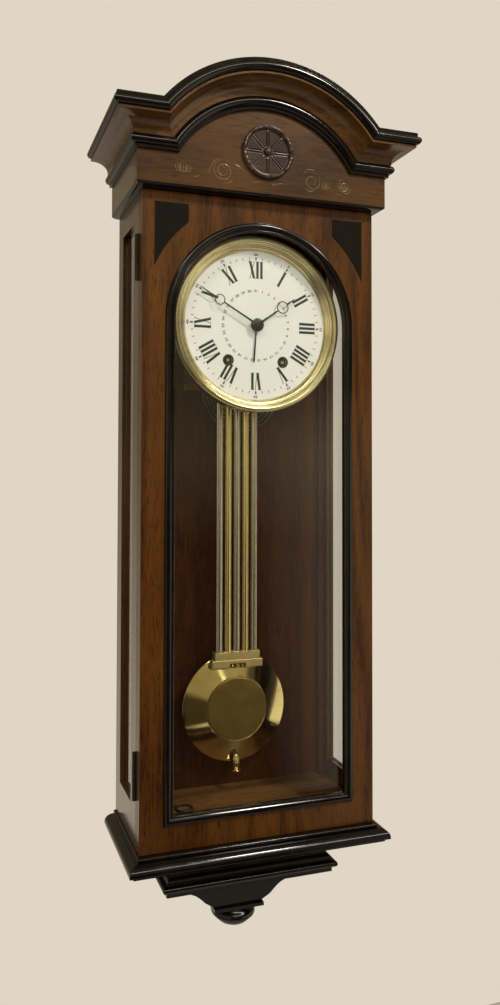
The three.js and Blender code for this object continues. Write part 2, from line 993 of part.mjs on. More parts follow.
function addHood() {
  const stations = hoodStations();
  add("frieze_fillet", friezeFillet(), ebonised);
  add("pediment_board", pedimentBoard(), rosewood);
  add("frieze_bead", carried(friezeBeadSection(), stations, false), ebonised);
  add("cornice_cove", carried(coveSection(), stations, false), rosewood);
  add("crown_moulding", carried(crownSection(), stations, false), ebonised);
  add("rosette", rosette(), carvedWood);
  for (const [name, side] of [["left", -1], ["right", 1]]) {
    const board = block(
      Math.min(side * hoodInner, side * hoodOuter),
      Math.max(side * hoodInner, side * hoodOuter),
      touchGap - friezeBackOut,
      0,
      friezeBottom + touchGap,
      boardTop,
    );
    add("hood_side_" + name, board, rosewood);
  }
  const roof = block(
    touchGap - hoodInner,
    hoodInner - touchGap,
    touchGap - friezeBackOut,
    0,
    boardTop - roofThickness,
    boardTop,
  );
  add("hood_roof", roof, darkWood);
}

// The outline of a spandrel: two straight edges and a hollow that follows the arch.
function spandrelOutline(side, clearance) {
  const radius = spandrelRadius - clearance;
  const outer = spandrelOuter + clearance;
  const top = spandrelTop + clearance;
  const inner = spandrelInner - clearance;
  const rise = Math.sqrt(radius * radius - inner * inner);
  const fall = Math.sqrt(radius * radius - outer * outer);
  const outline = new THREE.Shape();
  outline.moveTo(side * inner, top);
  outline.lineTo(side * inner, dialHeight + rise);
  const from = Math.atan2(rise, side * inner);
  const to = Math.atan2(fall, side * outer);
  outline.absarc(0, dialHeight, radius, from, to, side > 0);
  outline.lineTo(side * outer, top);
  outline.closePath();
  return outline;
}

// The door frame with its arched opening, the rebate behind it for the glass, the
// pockets of the spandrels and the recesses of the hinges.
function doorFrame() {
  const outline = new THREE.Shape();
  outline.moveTo(-halfCase, touchGap);
  outline.lineTo(halfCase, touchGap);
  outline.lineTo(halfCase, caseHeight - doorGap);
  outline.lineTo(-halfCase, caseHeight - doorGap);
  outline.closePath();
  const hole = archOutline(sightRadius + beadingTongueWidth + touchGap, sightBottom - beadingTongueWidth - touchGap);
  outline.holes.push(hole);
  const rebateRadius = sightRadius + doorRebate;
  const rebate = slab(
    archOutline(rebateRadius, sightBottom - doorRebate),
    caseDepth - doorLip,
    doorThickness,
    archSteps,
  );
  const pockets = pillarSigns.map((side) =>
    slab(
      spandrelOutline(side, touchGap),
      caseDepth + cutOverrun,
      cutOverrun + spandrelThickness - spandrelProud + touchGap,
      archSteps / 3,
    ),
  );
  const recesses = [];
  for (const bottom of Object.values(hingeBottoms)) {
    const deep = doorBackOut + hingeThickness + touchGap;
    recesses.push(...hingeRecess(bottom, hingeLeafWidth, deep, hingeOut - doorGap));
  }
  const frame = slab(outline, caseDepth, doorThickness, archSteps);
  return shaped(frame, { cut: [rebate, ...pockets, ...recesses] });
}

// The moulded beading round the sight opening. A section point is a distance from the
// sight line and a height above the door's face.
function doorBeading() {
  const section = [
    [0, -beadingTongue],
    [beadingTongueWidth, -beadingTongue],
    [beadingTongueWidth, 0],
    ...beadingProfileShares
      .map(([across, up]) => [across * beadingWidth, up * beadingHeight])
      .reverse(),
  ];
  const at = (x, z, up) => [x, -caseDepth - up, z];
  const stations = [
    (a, up) => at(-sightRadius - a, sightBottom - a, up),
    (a, up) => at(sightRadius + a, sightBottom - a, up),
  ];
  for (let i = 0; i <= archSteps; i++) {
    const angle = (Math.PI * i) / archSteps;
    stations.push((a, up) => {
      const radius = sightRadius + a;
      return at(radius * Math.cos(angle), dialHeight + radius * Math.sin(angle), up);
    });
  }
  return carried(section, stations, true);
}

function addDoor() {
  add("door_frame", doorFrame(), rosewood);
  add("door_beading", doorBeading(), ebonised);
  const paneRadius = sightRadius + doorRebate - touchGap;
  const pane = slab(
    archOutline(paneRadius, sightBottom - doorRebate + touchGap),
    caseDepth - doorLip - touchGap,
    doorGlassThickness,
    archSteps,
  );
  add("door_glass", pane, clearGlass);
  for (const [name, side] of [["left", -1], ["right", 1]]) {
    const inlay = slab(
      spandrelOutline(side, 0),
      caseDepth + spandrelProud,
      spandrelThickness,
      archSteps / 3,
    );
    add("spandrel_" + name, inlay, ebonised);
  }
}

// A hinge: the door's leaf turns on the upper half of the knuckle, and the carcass leaf
// holds the lower half and the pin.
function addHinge(name, bottom) {
  const middle = bottom + hingeLength / 2;
  const top = bottom + hingeLength;
  const bore = hingePinRadius + touchGap;
  const sleeve = turnedUpright(
    [
      [bore, middle + touchGap],
      [knuckleRadius, middle + touchGap],
      [knuckleRadius, top],
      [bore, top],
    ],
    hingeX,
    hingeOut,
    roundSteps,
  );
  const doorLeaf = block(
    hingeX + knuckleRadius / 2,
    hingeLeafWidth - halfCase,
    -doorBackOut - hingeThickness,
    -doorBackOut,
    bottom,
    top,
  );
  const doorLeafTop = block(
    hingeX + bore,
    hingeX + knuckleRadius,
    -doorBackOut - hingeThickness,
    -doorBackOut,
    middle + touchGap,
    top,
  );
  const lowerRelief = rodUpright(
    knuckleRadius + touchGap,
    hingeX,
    hingeOut,
    bottom - cutOverrun,
    middle + touchGap,
    roundSteps,
  );
  const doorSide = solidOf(doorLeaf)
    .subtract(solidOf(lowerRelief))
    .subtract(solidOf(rodUpright(bore, hingeX, hingeOut, bottom, top + cutOverrun, roundSteps)))
    .add(solidOf(sleeve))
    .add(solidOf(doorLeafTop));
  add(name + "_hinge_door_leaf", geometryOf(doorSide), blackSteel);

  const barrel = rodUpright(knuckleRadius, hingeX, hingeOut, bottom, middle, roundSteps);
  const pin = rodUpright(hingePinRadius, hingeX, hingeOut, bottom, top, smallSteps);
  const caseLeaf = block(
    hingeX,
    caseLeafWidth - halfCase,
    -panelFrontOut,
    hingeThickness - panelFrontOut,
    bottom,
    top,
  );
  const upperRelief = rodUpright(
    knuckleRadius + touchGap,
    hingeX,
    hingeOut,
    middle,
    top + cutOverrun,
    roundSteps,
  );
  const caseSide = solidOf(caseLeaf)
    .subtract(solidOf(upperRelief))
    .add(solidOf(barrel))
    .add(solidOf(pin));
  add(name + "_hinge_case_leaf", geometryOf(caseSide), blackSteel);
}

// The stepped base round the foot of the case: bead, ovolo, edge and under-board.
function baseMoulding() {
  const levels = [];
  const bead = beadArc(baseBeadProjection - baseBeadHeight / 2, -baseBeadHeight, baseBeadHeight / 2);
  levels.push(...bead.reverse());
  for (let i = 0; i <= beadSteps; i++) {
    const angle = (Math.PI / 2) * (i / beadSteps);
    const reach = baseStep + (baseProjection - baseStep) * Math.sin(angle);
    levels.push([reach, -baseOvoloTop - baseOvoloHeight * (1 - Math.cos(angle))]);
  }
  const edge = baseOvoloTop + baseOvoloHeight + baseEdgeHeight;
  levels.push([baseProjection, -edge]);
  levels.push([baseUnderProjection, -edge]);
  levels.push([baseUnderProjection, -edge - baseUnderHeight + touchGap]);
  return tiered(levels, halfCase, hoodOut);
}

// A block whose half width and depth step out by the projection at each level.
function tiered(levels, halfWidth, out) {
  const stations = levels.map(([p, height]) => (a, b) => {
    const x = a * (halfWidth + p);
    return [x, b * (out + p), height];
  });
  const unit = [
    [-1, -1],
    [1, -1],
    [1, 0],
    [-1, 0],
  ];
  return carried(unit, stations, false);
}

function baseUnderside() {
  return baseOvoloTop + baseOvoloHeight + baseEdgeHeight + baseUnderHeight;
}

// The smaller stepped block under the base.
function steppedMoulding() {
  const levels = [
    [0, -baseUnderside() - touchGap],
    [0, -tierTop - tierNeck],
  ];
  let height = tierTop + tierNeck;
  for (let i = 0; i <= beadSteps; i++) {
    const angle = (Math.PI / 2) * (i / beadSteps);
    levels.push([tierOvolo * Math.sin(angle), -height - tierOvoloHeight * (1 - Math.cos(angle))]);
  }
  height += tierOvoloHeight + tierTorusRadius * 2;
  const torus = beadArc(tierTorusProjection - tierTorusRadius / 2, -height, tierTorusRadius);
  levels.push(...torus.reverse());
  levels.push([tierFilletProjection, -height]);
  levels.push([tierFilletProjection, -height - tierFilletHeight]);
  return tiered(levels, tierHalfWidth, tierOut);
}

function steppedUnderside() {
  return tierTop + tierNeck + tierOvoloHeight + tierTorusRadius * 2 + tierFilletHeight;
}

// The wall bracket with its ogee sides and the square abacus at its foot.
function wallBracket() {
  const top = -steppedUnderside() - touchGap;
  const foot = top - bracketHeight;
  const span = bracketTopHalfWidth - bracketFootHalfWidth;
  const edge = bracketCurveShares.map(([down, wide]) => [
    bracketFootHalfWidth + span * wide,
    top - bracketHeight * down,
  ]);
  const outline = new THREE.Shape();
  outline.moveTo(bracketTopHalfWidth, top);
  outline.lineTo(edge[0][0], edge[0][1]);
  outline.splineThru([
    ...edge.slice(1).map(([x, z]) => new THREE.Vector2(x, z)),
    new THREE.Vector2(bracketFootHalfWidth, foot),
  ]);
  outline.lineTo(-bracketFootHalfWidth, foot);
  const mirrored = edge.map(([x, z]) => new THREE.Vector2(-x, z)).reverse();
  outline.splineThru(mirrored);
  outline.lineTo(-bracketTopHalfWidth, top);
  outline.closePath();
  const body = slab(outline, bracketOut, bracketOut, smallSteps / 2);
  const abacus = block(
    -abacusHalfWidth,
    abacusHalfWidth,
    -abacusOut,
    0,
    foot - abacusHeight,
    foot + touchGap,
  );
  return shaped(body, { join: [abacus] });
}

// The turned boss and its tip, the lowest point of the clock.
function turnedBoss() {
  const top = -steppedUnderside() - touchGap * 2 - bracketHeight - abacusHeight;
  const profile = bossProfileShares.map(([wide, down]) => [
    bossRadius * wide,
    top - bossHeight * down,
  ]);
  profile.push([bossTipRadius, top - bossHeight]);
  profile.push([bossTipRadius, top - bossHeight - bossTipHeight / 2]);
  profile.push([bossTipRadius / 2, top - bossHeight - bossTipHeight]);
  profile.push([0, top - bossHeight - bossTipHeight]);
  return turnedUpright(profile, 0, bossOut, ringSteps / 2);
}

function addBase() {
  add("base_moulding", baseMoulding(), ebonised);
  add("stepped_moulding", steppedMoulding(), ebonised);
  add("wall_bracket", wallBracket(), ebonised);
  add("turned_boss", turnedBoss(), ebonised);
}

// The dial with its centre and winding holes and its feet.
function dial() {
  const disc = turnedOutward(
    [
      [dialCentreHole, dialOut - dialThickness],
      [dialRadius, dialOut - dialThickness],
      [dialRadius, dialOut],
      [dialCentreHole, dialOut],
    ],
    0,
    dialHeight,
    ringSteps,
  );
  const holes = pillarSigns.map((side) =>
    rodOutward(
      windingHole,
      side * windingX,
      dialHeight - windingDrop,
      dialOut + cutOverrun,
      dialOut - cutOverrun,
      roundSteps,
    ),
  );
  const feet = [];
  for (let i = 0; i < dialFeet; i++) {
    const angle = Math.PI / 2 + (Math.PI * 2 * i) / dialFeet;
    feet.push(
      rodOutward(
        dialFootRadius,
        Math.cos(angle) * dialFootOffset,
        dialHeight + Math.sin(angle) * dialFootOffset,
        dialOut - dialThickness / 2,
        frontPlateOut + touchGap,
      ),
    );
  }
  return shaped(disc, { join: feet, cut: holes });
}

// The cast bezel: a stepped face that falls from its rounded rim to the sight ring, and a
// seat behind the dial.
function bezel() {
  const seatOut = dialOut - dialThickness - touchGap;
  const sightOut = dialOut + touchGap;
  const width = bezelRadius - bezelSight;
  const fall = bezelFrontOut - sightOut;
  const innerWall = dialRadius + touchGap;
  const seatInner = dialRadius - bezelSeatWidth;
  const profile = [
    [seatInner, seatOut - bezelSeatThickness],
    [bezelRadius - bezelRound, bezelBackOut],
    [bezelRadius, bezelBackOut + bezelRound],
    [bezelRadius, bezelFrontOut - bezelRound],
  ];
  for (const [across, down] of bezelProfileShares) {
    profile.push([bezelSight + width * across, bezelFrontOut - fall * down]);
  }
  profile.push([bezelSight, sightOut + touchGap * 3]);
  profile.push([bezelSight, sightOut]);
  profile.push([innerWall, sightOut]);
  profile.push([innerWall, seatOut]);
  profile.push([seatInner, seatOut]);
  return turnedOutward(profile, 0, dialHeight, ringSteps);
}

// A hand's outline pointing up from the origin: a tapered arm with a ring in it, a point
// beyond the ring and a short tail.
function handOutline(length, ringAt, ringRadius) {
  const root = handRootWidth / 2;
  const tip = handTipWidth / 2;
  const join = Math.sqrt(ringRadius * ringRadius - root * root);
  const side = Math.atan2(join, root);
  const outline = new THREE.Shape();
  outline.moveTo(root, -handTail);
  outline.lineTo(root, ringAt - join);
  outline.absarc(0, ringAt, ringRadius, -side, side, false);
  outline.lineTo(tip, length);
  outline.lineTo(-tip, length);
  outline.lineTo(-root, ringAt + join);
  outline.absarc(0, ringAt, ringRadius, Math.PI - side, Math.PI + side, false);
  outline.lineTo(-root, -handTail);
  outline.closePath();
  const hole = new THREE.Path();
  hole.absarc(0, ringAt, ringRadius - handRingBand, 0, Math.PI * 2, true);
  outline.holes.push(hole);
  return outline;
}

// A flat hand on its pipe. The pipe runs back through the dial to its wheel.
function handOnPipe(outline, angle, frontOut, hub, pipe, bore, wheelRadius, wheelOut) {
  const arm = slab(outline, frontOut, handThickness, roundSteps);
  arm.rotateY(degrees(angle));
  arm.translate(0, 0, dialHeight);
  const back = frontOut - handThickness;
  const wheelBack = wheelOut - motionWheelThickness;
  const body = turnedOutward(
    [
      [bore, wheelBack],
      [wheelRadius, wheelBack],
      [wheelRadius, wheelOut],
      [pipe, wheelOut],
      [pipe, back - touchGap],
      [hub, back],
      [hub, frontOut],
      [bore, frontOut],
    ],
    0,
    dialHeight,
    roundSteps,
  );
  const drill = rodOutward(bore, 0, dialHeight, frontOut + cutOverrun, back - cutOverrun, roundSteps);
  return shaped(arm, { cut: [drill], join: [body] });
}

function addHands() {
  const dateOutline = new THREE.Shape();
  dateOutline.moveTo(handTipWidth, -handTail);
  dateOutline.lineTo(handTipWidth / 2, dateLength);
  dateOutline.lineTo(-handTipWidth / 2, dateLength);
  dateOutline.lineTo(-handTipWidth, -handTail);
  dateOutline.closePath();
  const dateHub = datePipe + handTipWidth;
  const hourBore = minutePipe + pipeGap;
  const dateBore = hourPipe + pipeGap;
  const date = handOnPipe(
    dateOutline,
    dateAngle,
    dateHandOut,
    dateHub,
    datePipe,
    dateBore,
    dateWheelRadius,
    dateWheelOut,
  );
  add("date_hand", date, blackSteel);
  const hour = handOnPipe(
    handOutline(hourLength, hourRing, hourRingRadius),
    hourAngle,
    hourHandOut,
    handHubRadius,
    hourPipe,
    hourBore,
    hourWheelRadius,
    hourWheelOut,
  );
  add("hour_hand", hour, blackSteel);
  const arm = slab(
    handOutline(minuteLength, minuteRing, minuteRingRadius),
    minuteHandOut,
    handThickness,
    roundSteps,
  );
  arm.rotateY(degrees(minuteAngle));
  arm.translate(0, 0, dialHeight);
  const arborEnd = frontPlateOut + touchGap;
  const cap = turnedOutward(
    [
      [0, arborEnd],
      [minutePipe, arborEnd],
      [minutePipe, minuteHandOut - handThickness],
      [handHubRadius, minuteHandOut - handThickness],
      [handHubRadius, minuteHandOut],
      [minutePipe * 2, minuteHandOut + (minuteCapOut - minuteHandOut) / 2],
      [minutePipe, minuteCapOut],
      [0, minuteCapOut],
    ],
    0,
    dialHeight,
    roundSteps,
  );
  add("minute_hand", shaped(arm, { join: [cap] }), blackSteel);
}

// A movement plate with holes for what passes through it.
function movementPlate(halfWidth, drop, rise, frontOut, holes) {
  const plate = block(
    -halfWidth,
    halfWidth,
    -frontOut,
    plateThickness - frontOut,
    dialHeight - drop,
    dialHeight + rise,
  );
  const drills = holes.map(([radius, x, z]) =>
    rodOutward(
      radius + touchGap,
      x,
      z,
      frontOut + cutOverrun,
      frontOut - plateThickness - cutOverrun,
      roundSteps,
    ),
  );
  return shaped(plate, { cut: drills });
}

const windingHeight = dialHeight - windingDrop;
const hammerHeight = dialHeight + hammerRise;

function addPlates() {
  const front = movementPlate(frontPlateHalfWidth, frontPlateDrop, plateRise, frontPlateOut, [
    [windingArborRadius, -windingX, windingHeight],
    [windingArborRadius, windingX, windingHeight],
    [arborRadius, 0, dialHeight],
  ]);
  add("front_plate", front, brass);
  const pillars = [];
  for (const side of pillarSigns) {
    for (const height of [dialHeight - lowerPillarDrop, dialHeight + upperPillarRise]) {
      const inner = frontPlateOut - plateThickness - touchGap;
      const root = backPlateOut - plateThickness / 2;
      pillars.push(rodOutward(pillarRadius, side * pillarX, height, inner, root));
    }
  }
  const back = movementPlate(backPlateHalfWidth, plateDrop, plateRise, backPlateOut, [
    [arborRadius, 0, suspensionHeight],
    [arborRadius, hammerX, hammerHeight],
  ]);
  add("back_plate", shaped(back, { join: pillars }), brass);
}

// The two spring barrels, each with its great wheel, and the arbors that wind them.
function addBarrels() {
  const inner = frontPlateOut - plateThickness;
  const rear = backPlateOut + touchGap;
  const drumBack = rear + greatWheelThickness;
  const drumFront = drumBack + greatWheelThickness + barrelHeight;
  const bore = windingArborRadius + touchGap;
  for (const [name, side] of [["strike", -1], ["going", 1]]) {
    const x = side * windingX;
    const drum = turnedOutward(
      [
        [bore, drumBack],
        [greatWheelRadius, drumBack],
        [greatWheelRadius, drumBack + greatWheelThickness],
        [barrelRadius, drumBack + greatWheelThickness],
        [barrelRadius, drumFront],
        [bore, drumFront],
      ],
      x,
      windingHeight,
      roundSteps * 2,
    );
    add(name + "_barrel", drum, brass);
    const arbor = rodOutward(windingArborRadius, x, windingHeight, inner + windingArborRadius, rear);
    const square = block(
      x - windingSquare / 2,
      x + windingSquare / 2,
      -windingTipOut,
      -inner,
      windingHeight - windingSquare / 2,
      windingHeight + windingSquare / 2,
    );
    add(name + "_winding_arbor", shaped(arbor, { join: [square] }), steel);
  }
}

// The centre wheel and its arbor, which carries the minute hand.
function centreWheel() {
  const rear = backPlateOut + touchGap;
  return turnedOutward(
    [
      [0, rear],
      [arborRadius, rear],
      [arborRadius, centreWheelOut - wheelThickness],
      [centreWheelRadius, centreWheelOut - wheelThickness],
      [centreWheelRadius, centreWheelOut],
      [arborRadius, centreWheelOut],
      [arborRadius, frontPlateOut],
      [0, frontPlateOut],
    ],
    0,
    dialHeight,
    roundSteps * 2,
  );
}

// The escape wheel: saw teeth round a disc, on its arbor between the plates.
function escapeWheel() {
  const outline = new THREE.Shape();
  const inner = escapeRadius - escapeToothDepth;
  for (let i = 0; i < escapeTeeth; i++) {
    const start = (Math.PI * 2 * i) / escapeTeeth;
    const end = (Math.PI * 2 * (i + 0.5)) / escapeTeeth;
    const point = [Math.cos(start) * escapeRadius, Math.sin(start) * escapeRadius];
    if (i === 0) {
      outline.moveTo(...point);
    } else {
      outline.lineTo(...point);
    }
    outline.lineTo(Math.cos(start) * inner, Math.sin(start) * inner);
    outline.lineTo(Math.cos(end) * inner, Math.sin(end) * inner);
  }
  outline.closePath();
  const wheel = slab(outline, escapeOut, wheelThickness);
  wheel.translate(0, 0, escapeHeight);
  const arbor = rodOutward(
    arborRadius,
    0,
    escapeHeight,
    frontPlateOut - plateThickness - touchGap,
    backPlateOut + touchGap,
  );
  return shaped(wheel, { join: [arbor] });
}

// The anchor over the escape wheel, its arbor, and the crutch whose fork takes the
// pendulum's stem.
function anchorAndCrutch() {
  const reach = escapeRadius + palletClearance;
  const hornX = reach * Math.sin(degrees(hornAngle));
  const hornZ = escapeHeight + reach * Math.cos(degrees(hornAngle));
  const outline = new THREE.Shape();
  outline.moveTo(0, suspensionHeight + palletWidth);
  outline.lineTo(hornX + palletWidth, suspensionHeight - palletWidth * 2);
  outline.lineTo(hornX + palletWidth, hornZ + palletWidth);
  outline.lineTo(hornX, hornZ);
  outline.lineTo(hornX, suspensionHeight - palletWidth * 3);
  outline.lineTo(-hornX, suspensionHeight - palletWidth * 3);
  outline.lineTo(-hornX, hornZ);
  outline.lineTo(-hornX - palletWidth, hornZ + palletWidth);
  outline.lineTo(-hornX - palletWidth, suspensionHeight - palletWidth * 2);
  outline.closePath();
  const anchor = slab(outline, escapeOut, wheelThickness);
  const arbor = rodOutward(
    arborRadius,
    0,
    suspensionHeight,
    frontPlateOut - plateThickness - touchGap,
    cockOut + touchGap,
  );
  const foot = suspensionHeight - crutchLength;
  const crutch = block(
    -crutchWidth / 2,
    crutchWidth / 2,
    -crutchOut,
    crutchThickness - crutchOut,
    foot,
    suspensionHeight + crutchWidth / 2,
  );
  const inside = stemRadius + touchGap;
  const outside = inside + forkProngWidth;
  const fork = block(
    -outside,
    outside,
    -crutchOut,
    crutchThickness - crutchOut,
    foot,
    foot + crutchWidth,
  );
  const prongs = pillarSigns.map((side) =>
    block(
      Math.min(side * inside, side * outside),
      Math.max(side * inside, side * outside),
      -crutchOut,
      forkLength + crutchThickness - crutchOut,
      foot,
      foot + crutchWidth,
    ),
  );
  return shaped(anchor, { join: [arbor, crutch, fork, ...prongs] });
}

// The back cock: a bridge behind the anchor arbor, and the arm the pendulum hangs from.
function backCock() {
  const bridge = block(
    -cockHalfWidth,
    cockHalfWidth,
    -cockOut,
    cockThickness - cockOut,
    suspensionHeight - cockHeight / 2,
    suspensionHeight + cockHeight,
  );
  const feet = pillarSigns.map((side) =>
    block(
      Math.min(side * cockHalfWidth, side * (cockHalfWidth - cockFoot)),
      Math.max(side * cockHalfWidth, side * (cockHalfWidth - cockFoot)),
      plateThickness + touchGap - backPlateOut,
      cockThickness - cockOut,
      suspensionHeight - cockHeight / 2,
      suspensionHeight + cockHeight,
    ),
  );
  const arm = block(
    -springHalfWidth - touchGap * 2,
    springHalfWidth + touchGap * 2,
    -cockOut,
    springBlockThickness / 2 - pendulumOut,
    suspensionHeight + touchGap * 2,
    suspensionHeight + touchGap * 2 + cockArmHeight,
  );
  return shaped(bridge, { join: [...feet, arm] });
}

// The iron bracket: a strip on the backboard and two posts that carry the back plate.
function movementBracket() {
  const low = dialHeight + bracketStripRise;
  const high = low + bracketStripHeight;
  const half = bracketPostX + bracketPostWidth / 2;
  const front = backThickness + bracketStripThickness;
  const strip = block(-half, half, -front, -backThickness - touchGap, low, high);
  const posts = pillarSigns.map((side) =>
    block(
      Math.min(side * half, side * (half - bracketPostWidth)),
      Math.max(side * half, side * (half - bracketPostWidth)),
      plateThickness + touchGap - backPlateOut,
      -backThickness - touchGap,
      low,
      high,
    ),
  );
  return shaped(strip, { join: posts });
}

// A point on the centre line of the gong: a flat spiral that closes in from the outside.
function gongPoint(turn) {
  const angle = degrees(gongStart) + Math.PI * 2 * turn;
  const radius = gongRadius - gongPitch * turn;
  const x = gongX + Math.cos(angle) * radius;
  return new THREE.Vector3(x, -gongOut, dialHeight - gongDrop + Math.sin(angle) * radius);
}

// The direction in which the wire leaves its outer end, back towards the post.
function gongLead() {
  return gongPoint(0).sub(gongPoint(1e-4)).normalize();
}

// The wire of the gong: one unbroken tube along the spiral, with a straight outer end.
function gongCoil() {
  const steps = gongTurns * stepsPerLoop;
  const lead = gongLead();
  const path = [gongPoint(0).addScaledVector(lead, gongRun)];
  for (let i = 0; i <= steps; i++) {
    path.push(gongPoint(i / stepsPerLoop));
  }
  const last = path[path.length - 1];
  const before = path[path.length - 2];
  path.push(last.clone().add(last.clone().sub(before).setLength(gongTail)));
  const outward = new THREE.Vector3(0, 1, 0);
  const points = [];
  path.forEach((point, i) => {
    const ahead = path[Math.min(i + 1, path.length - 1)];
    const behind = path[Math.max(i - 1, 0)];
    const along = ahead.clone().sub(behind).normalize();
    const across = new THREE.Vector3().crossVectors(along, outward).normalize();
    for (let j = 0; j < wireSides; j++) {
      const angle = (Math.PI * 2 * j) / wireSides;
      const place = point.clone();
      place.addScaledVector(across, Math.cos(angle) * gongWireRadius);
      place.addScaledVector(outward, Math.sin(angle) * gongWireRadius);
      points.push(place.toArray());
    }
  });
  const triangles = [];
  for (let i = 0; i < path.length - 1; i++) {
    for (let j = 0; j < wireSides; j++) {
      const a = i * wireSides + j;
      const b = i * wireSides + ((j + 1) % wireSides);
      triangles.push(a, b, b + wireSides);
      triangles.push(a, b + wireSides, a + wireSides);
    }
  }
  const end = (path.length - 1) * wireSides;
  for (let j = 1; j < wireSides - 1; j++) {
    triangles.push(0, j + 1, j);
    triangles.push(end, end + j, end + j + 1);
  }
  console.log("least gap of the gong to itself: " + leastGap(path).toFixed(2) + " mm");
  return closedSurface(points, triangles);
}

// The least space between two stretches of the wire that are over half a turn apart.
function leastGap(path) {
  let least = Infinity;
  for (let i = 0; i < path.length; i++) {
    for (let j = i + stepsPerLoop / 2; j < path.length; j++) {
      least = Math.min(least, path[i].distanceTo(path[j]));
    }
  }
  return least - gongWireRadius * 2;
}

// The iron post that grips the outer end of the gong, square to the wire.
function gongPost() {
  const lead = gongLead();
  const centre = gongPoint(0).addScaledVector(lead, gongRun + touchGap + gongPostWidth / 2);
  const post = block(
    -gongPostWidth / 2,
    gongPostWidth / 2,
    -gongOut - gongPostDepth / 2,
    -backThickness - touchGap,
    -gongPostWidth / 2,
    gongPostWidth / 2,
  );
  post.rotateY(-Math.atan2(lead.z, lead.x));
  post.translate(centre.x, 0, centre.z);
  return post;
}

// The hammer: an arbor through the back plate, a rod down to the gong, and the head that
// rests just off the outer turn.
function hammer() {
  const angle = degrees(hammerAngle);
  const turn = (hammerAngle - gongStart + 360) / 360;
  const face = gongRadius - gongPitch * turn + gongWireRadius + hammerRest;
  const reach = face + hammerHeadLength / 2;
  const headX = gongX + Math.cos(angle) * reach;
  const headZ = dialHeight - gongDrop + Math.sin(angle) * reach;
  const head = new THREE.CylinderGeometry(
    hammerHeadRadius,
    hammerHeadRadius,
    hammerHeadLength,
    smallSteps,
  );
  head.rotateZ(Math.PI / 2);
  head.rotateY(-angle);
  head.translate(headX, -gongOut, headZ);
  const arbor = rodOutward(
    arborRadius,
    hammerX,
    hammerHeight,
    frontPlateOut - plateThickness - touchGap,
    gongOut - hammerRodRadius,
  );
  const span = Math.hypot(headX - hammerX, headZ - hammerHeight);
  const rod = new THREE.CylinderGeometry(hammerRodRadius, hammerRodRadius, span, smallSteps);
  rod.translate(0, -span / 2, 0);
  rod.rotateX(Math.PI / 2);
  rod.rotateY(-Math.atan2(headX - hammerX, hammerHeight - headZ));
  rod.translate(hammerX, -gongOut, hammerHeight);
  return shaped(arbor, { join: [rod, head] });
}

function addMovement() {
  addPlates();
  addBarrels();
  add("centre_wheel", centreWheel(), brass);
  add("escape_wheel", escapeWheel(), brass);
  add("anchor_and_crutch", anchorAndCrutch(), steel);
  add("back_cock", backCock(), brass);
  add("movement_bracket", movementBracket(), castIron);
  add("gong_coil", gongCoil(), blackSteel);
  add("gong_post", gongPost(), castIron);
  add("hammer", hammer(), steel);
}

// The bob: a cone from its rim to a flat centre disc, bored for the rating rod, with a
// notch that clears the crossbars and a seat for the rating nut.
function bob() {
  const body = turnedOutward(
    [
      [0, bobBackOut],
      [bobBackRadius, bobBackOut],
      [bobRadius, bobRimOut - bobRimThickness],
      [bobRadius, bobRimOut],
      [bobDiscRadius, bobFrontOut - bobTravel],
      [bobDiscRadius, bobFrontOut],
      [0, bobFrontOut],
    ],
    0,
    bobHeight,
    ringSteps,
  );
  const room = touchGap + bobTravel;
  const clear = touchGap * 2;
  const notch = block(
    -lowerBarHalfWidth - clear,
    lowerBarHalfWidth + clear,
    -pendulumOut - barThickness,
    barThickness / 2 + clear - pendulumOut,
    lowerBarBottom - room,
    bobHeight + bobRadius + cutOverrun,
  );
  const stirrup = block(
    -stirrupHalfWidth - clear,
    stirrupHalfWidth + clear,
    -pendulumOut - barThickness,
    stirrupThickness + clear - pendulumOut - barThickness / 2,
    lowerBarBottom - stirrupHeight - room,
    lowerBarBottom,
  );
  const bore = rodUpright(
    ratingRodRadius + touchGap,
    0,
    pendulumOut,
    bobHeight - bobRadius - cutOverrun,
    bobHeight + bobRadius + cutOverrun,
  );
  const seat = rodUpright(
    nutRadius + nutSeatClearance,
    0,
    pendulumOut,
    bobHeight - bobRadius - cutOverrun,
    nutTop + touchGap,
    roundSteps,
  );
  return shaped(body, { cut: [notch, stirrup, bore, seat] });
}

// The two lower crossbars as one forging: a narrow bar on a wider one, parted by a
// groove, and the stirrup that carries the rating rod.
function lowerCrossbar() {
  const front = -pendulumOut - barThickness / 2;
  const back = barThickness / 2 - pendulumOut;
  const rodsBottom = upperBarBottom + barHeight / 2;
  const upper = block(
    -upperBarHalfWidth,
    upperBarHalfWidth,
    front,
    back,
    upperBarBottom - barGroove,
    upperBarBottom + barHeight,
  );
  const lower = block(
    -lowerBarHalfWidth,
    lowerBarHalfWidth,
    front,
    back,
    lowerBarBottom,
    upperBarBottom - barGroove,
  );
  const stirrup = block(
    -stirrupHalfWidth,
    stirrupHalfWidth,
    front,
    front + stirrupThickness,
    lowerBarBottom - stirrupHeight,
    lowerBarBottom + touchGap,
  );
  const sockets = rodPlaces().map((x) =>
    rodUpright(rodRadius + touchGap, x, pendulumOut, rodsBottom, rodsBottom + cutOverrun * 2, roundSteps),
  );
  const drill = rodUpright(
    ratingRodRadius + touchGap,
    0,
    pendulumOut,
    lowerBarBottom - cutOverrun,
    lowerBarBottom + barHeight / 2,
  );
  return shaped(upper, { join: [lower, stirrup], cut: [...sockets, drill] });
}

// The places of the five rods across the gridiron.
function rodPlaces() {
  return [-2, -1, 0, 1, 2].map((step) => step * rodPitch);
}

